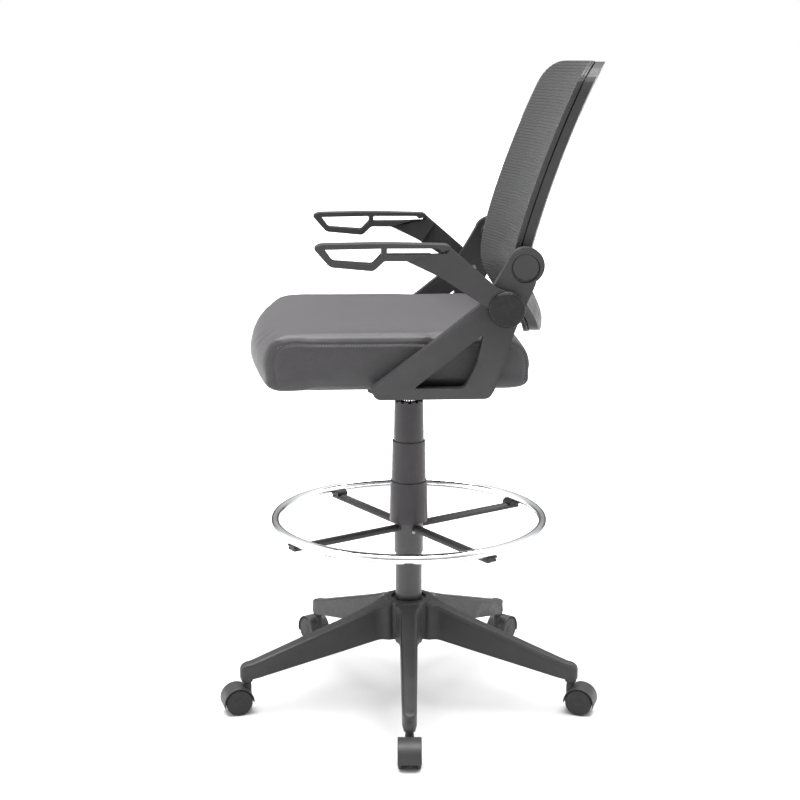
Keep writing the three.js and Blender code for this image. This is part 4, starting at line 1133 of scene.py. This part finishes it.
SEAM = [
    (-237, 652), (-241.5, 664), (-244.5, 685), (-243.5, 701), (-239, 714), (-229, 725), (-212, 729.5),
    (-180, 730), (-60, 729.5), (60, 728.5), (134, 727), (160, 723), (179, 712), (187, 694), (188, 672),
    (184, 654),
]


def evenly(path, pitch):
    """Places at an even pitch along a path, each with the way it runs there."""
    places, left = [], 0.0
    for here, there in zip(path, path[1:]):
        length = (there - here).length
        while left < length:
            places.append((here.lerp(there, left / length), (there - here).normalized()))
            left += pitch
        left -= length
    return places


def pressed_seam(piece, places, width, depth):
    """Draws a cover in along a seam, in a narrow valley."""
    tree = mathutils.kdtree.KDTree(len(places))
    for i, (place, _) in enumerate(places):
        tree.insert(place, i)
    tree.balance()
    normals = [vertex.normal.copy() for vertex in piece.data.vertices]
    for vertex, normal in zip(piece.data.vertices, normals):
        distance = tree.find(vertex.co)[2]
        if distance < width:
            vertex.co -= normal * depth * (1 - (distance / width) ** 2)


def seat_cushion():
    half = (CUSHION[1].x - CUSHION[0].x) / 2
    stations = [0, 60, 120, 165, 200, 222, 235, half]
    stations = [-x for x in stations[:0:-1]] + stations
    pad = lofted("seat_cushion_cover", [cushion_section(x, half) for x in stations])
    eased(pad, 3, 3, 45)
    modified(pad, "REMESH", mode="VOXEL", voxel_size=4.5)
    for vertex in [v for v in pad.data.vertices if v.co.z > 660]:
        vertex.co -= vertex.normal * SEAT_SWELL
    swollen(pad, 1.5, SEAT_SWELL)
    modified(pad, "SMOOTH", iterations=14, factor=0.5)
    modified(pad, "SUBSURF", levels=1, render_levels=1)
    for vertex in pad.data.vertices:
        vertex.co.z = max(vertex.co.z, COVER_LOW)
    stitch = turned("stitch", [(0, -2.0), (0.42, -1.5), (0.5, 0), (0.42, 1.5), (0, 2.0)], 6)
    stitches = []
    for side in (-1, 1):
        path = [pad.closest_point_on_mesh(Vector((side * (half + 20), y, z)))[1] for y, z in smoothed(SEAM)]
        pressed_seam(pad, evenly(path, 1.5), 3.6, 1.5)
        pad.data.update()
        for place, way in evenly(path, 5.4):
            _, spot, normal, _ = pad.closest_point_on_mesh(place + Vector((side * 3, 0, 0)))
            across_seam = normal.cross(way).normalized()
            turn = Matrix((across_seam, normal, way)).transposed().to_4x4()
            lifted = spot + normal * 0.1 + across_seam * side * 2.6
            stitches.append(copied(stitch, Matrix.Translation(lifted) @ turn))
    bpy.data.objects.remove(stitch)
    row = joined(*stitches)
    row.name = "seat_side_stitching"
    finished(row, "leatherette", "seat")
    row.data.materials[0] = THREAD
    finished(pad, "leatherette", "seat", "seat_cushion", smooth=80)


def smoothed(points, steps=4):
    """A soft curve through the middles of a path's stretches."""
    path = [Vector(p) for p in points]
    curve = [path[0]]
    for before, here, after in zip(path, path[1:], path[2:]):
        start, end = before.lerp(here, 0.5), here.lerp(after, 0.5)
        for step in range(steps + 1):
            t = step / steps
            curve.append(start.lerp(here, t).lerp(here.lerp(end, t), t))
    return curve + [path[-1]]


seat_cushion()

# ------------------------------------------------------------------ back

BACK_HALF_WIDTH = (BACK[1].x - BACK[0].x) / 2
BACK_TOP, BACK_BOTTOM = BACK[1].z, BACK[0].z
CARRIER_THICK, CARRIER_WIDTH = 8, 16
FRAME_THICK, FRAME_WIDTH, FRAME_GROOVE, FRAME_FOOT = 16, 24, 2.5, 62


def smoothstep(value, low, high):
    share = min(1, max(0, (value - low) / (high - low)))
    return share * share * (3 - 2 * share)


def back_surface(x, z):
    """How far back the front of the back lies, at a place on it."""
    seen_from, edge_place, slope, curl = 905, 170, 0.285, 0.00033
    rise = z - seen_from
    edge = edge_place + slope * rise + curl * rise * rise
    tail = smoothstep(830 - z, 0, 110)
    hollow = 34 + (86 - 34) * tail
    return edge + hollow * (1 - (x / BACK_HALF_WIDTH) ** 2)


def back_outline(margin, bottom=None):
    """The back's outline, moved in by a margin, drawn in X and Z."""
    side, top, tail = BACK_HALF_WIDTH - margin, BACK_TOP - margin, 104 - margin
    if bottom is None:
        bottom = BACK_BOTTOM + margin
    half = [
        (tail, bottom, 22), (tail + 30, bottom + 30, 26), (side - 5, BOSS.z - 32, 48),
        (side, BOSS.z + 60, 40), (side - 6, top - 90, 50), (side - 12, top, max(88 - margin, 10)),
    ]
    return rounded(half + [(-x, z, rounding) for x, z, rounding in reversed(half)], 8)


def bent(piece, front):
    """Cuts a flat piece of the back into a fine grid and bends it to the back's surface."""
    alone(piece)
    bpy.ops.object.mode_set(mode="EDIT")
    lines = [((0, 0, z), (0, 0, 1)) for z in range(int(BACK_BOTTOM) + 8, int(BACK_TOP), 12)]
    lines += [((x, 0, 0), (1, 0, 0)) for x in range(-210, 211, 21)]
    for place, way in lines:
        bpy.ops.mesh.select_all(action="SELECT")
        bpy.ops.mesh.bisect(plane_co=place, plane_no=way)
    bpy.ops.object.mode_set(mode="OBJECT")
    for vertex in piece.data.vertices:
        vertex.co.y += front + back_surface(vertex.co.x, vertex.co.z)
    return piece


def back_ring(name, outer, inner, front, thick):
    whole = prism(name, front_on(outer, 0), Vector((0, thick, 0)))
    opening = prism("opening", front_on(inner, -20), Vector((0, thick + 40, 0)))
    return bent(carved(whole, opening), front)


def half_width_at(height, outline):
    """Half the width of an outline at a height."""
    widths = [0.0]
    for here, there in zip(outline, outline[1:] + outline[:1]):
        if min(here.y, there.y) <= height <= max(here.y, there.y) and here.y != there.y:
            share = (height - here.y) / (there.y - here.y)
            widths.append(here.x + (there.x - here.x) * share)
    return max(widths)


def back_mesh():
    """The knitted mesh, stretched over the carrier and turned in round its rim."""
    columns, rows, rim = 72, 360, 0.985
    bpy.ops.object.select_all(action="DESELECT")
    bpy.ops.mesh.primitive_grid_add(x_subdivisions=columns, y_subdivisions=rows, size=2, calc_uvs=True)
    sheet = bpy.context.object
    sheet.name = "back_mesh_knit"
    outline = back_outline(0.2)
    bottom, top = BACK_BOTTOM + 0.2, BACK_TOP - 0.2
    for vertex in sheet.data.vertices:
        u, v = vertex.co.x, vertex.co.y
        height = bottom + (top - bottom) * (0.5 + 0.5 * max(-1, min(1, v / rim)))
        half = half_width_at(min(max(height, bottom + 0.05), top - 0.05), outline)
        x = half * max(-1, min(1, u / rim))
        turned_in = max(0, abs(u) - rim, abs(v) - rim) / (1 - rim)
        wave = 0.8 * math.sin(x * 2 * math.pi / 47) + 0.4 * math.sin(x * 2 * math.pi / 19 + height / 30)
        rib = 0.45 * math.cos((height + wave) * 2 * math.pi / RIB_PITCH)
        y = back_surface(x, height) - 1.0 + rib + 5.5 * turned_in
        vertex.co = Vector((x, y, height))
    finished(sheet, "back_mesh_fabric", "seat", "back_mesh", smooth=80)


def back():
    carrier = back_ring("back_mesh_carrier_moulding", back_outline(0.6), back_outline(CARRIER_WIDTH),
                        0, CARRIER_THICK)
    eased(carrier, 1.2, 2, 50)
    finished(carrier, "black_plastic", "seat", "back_mesh_carrier")
    opening = back_outline(FRAME_WIDTH, BACK_BOTTOM + FRAME_FOOT)
    shell = back_ring("back_frame_moulding", back_outline(2), opening,
                      CARRIER_THICK + FRAME_GROOVE, FRAME_THICK)
    eased(shell, 3, 3, 50)
    finished(shell, "black_plastic", "seat", "back_frame")
    spine = back_ring("back_groove_spine", back_outline(5), back_outline(12),
                      CARRIER_THICK - 0.5, FRAME_GROOVE + 1)
    finished(spine, "cap_plastic", "seat")
    back_mesh()


back()
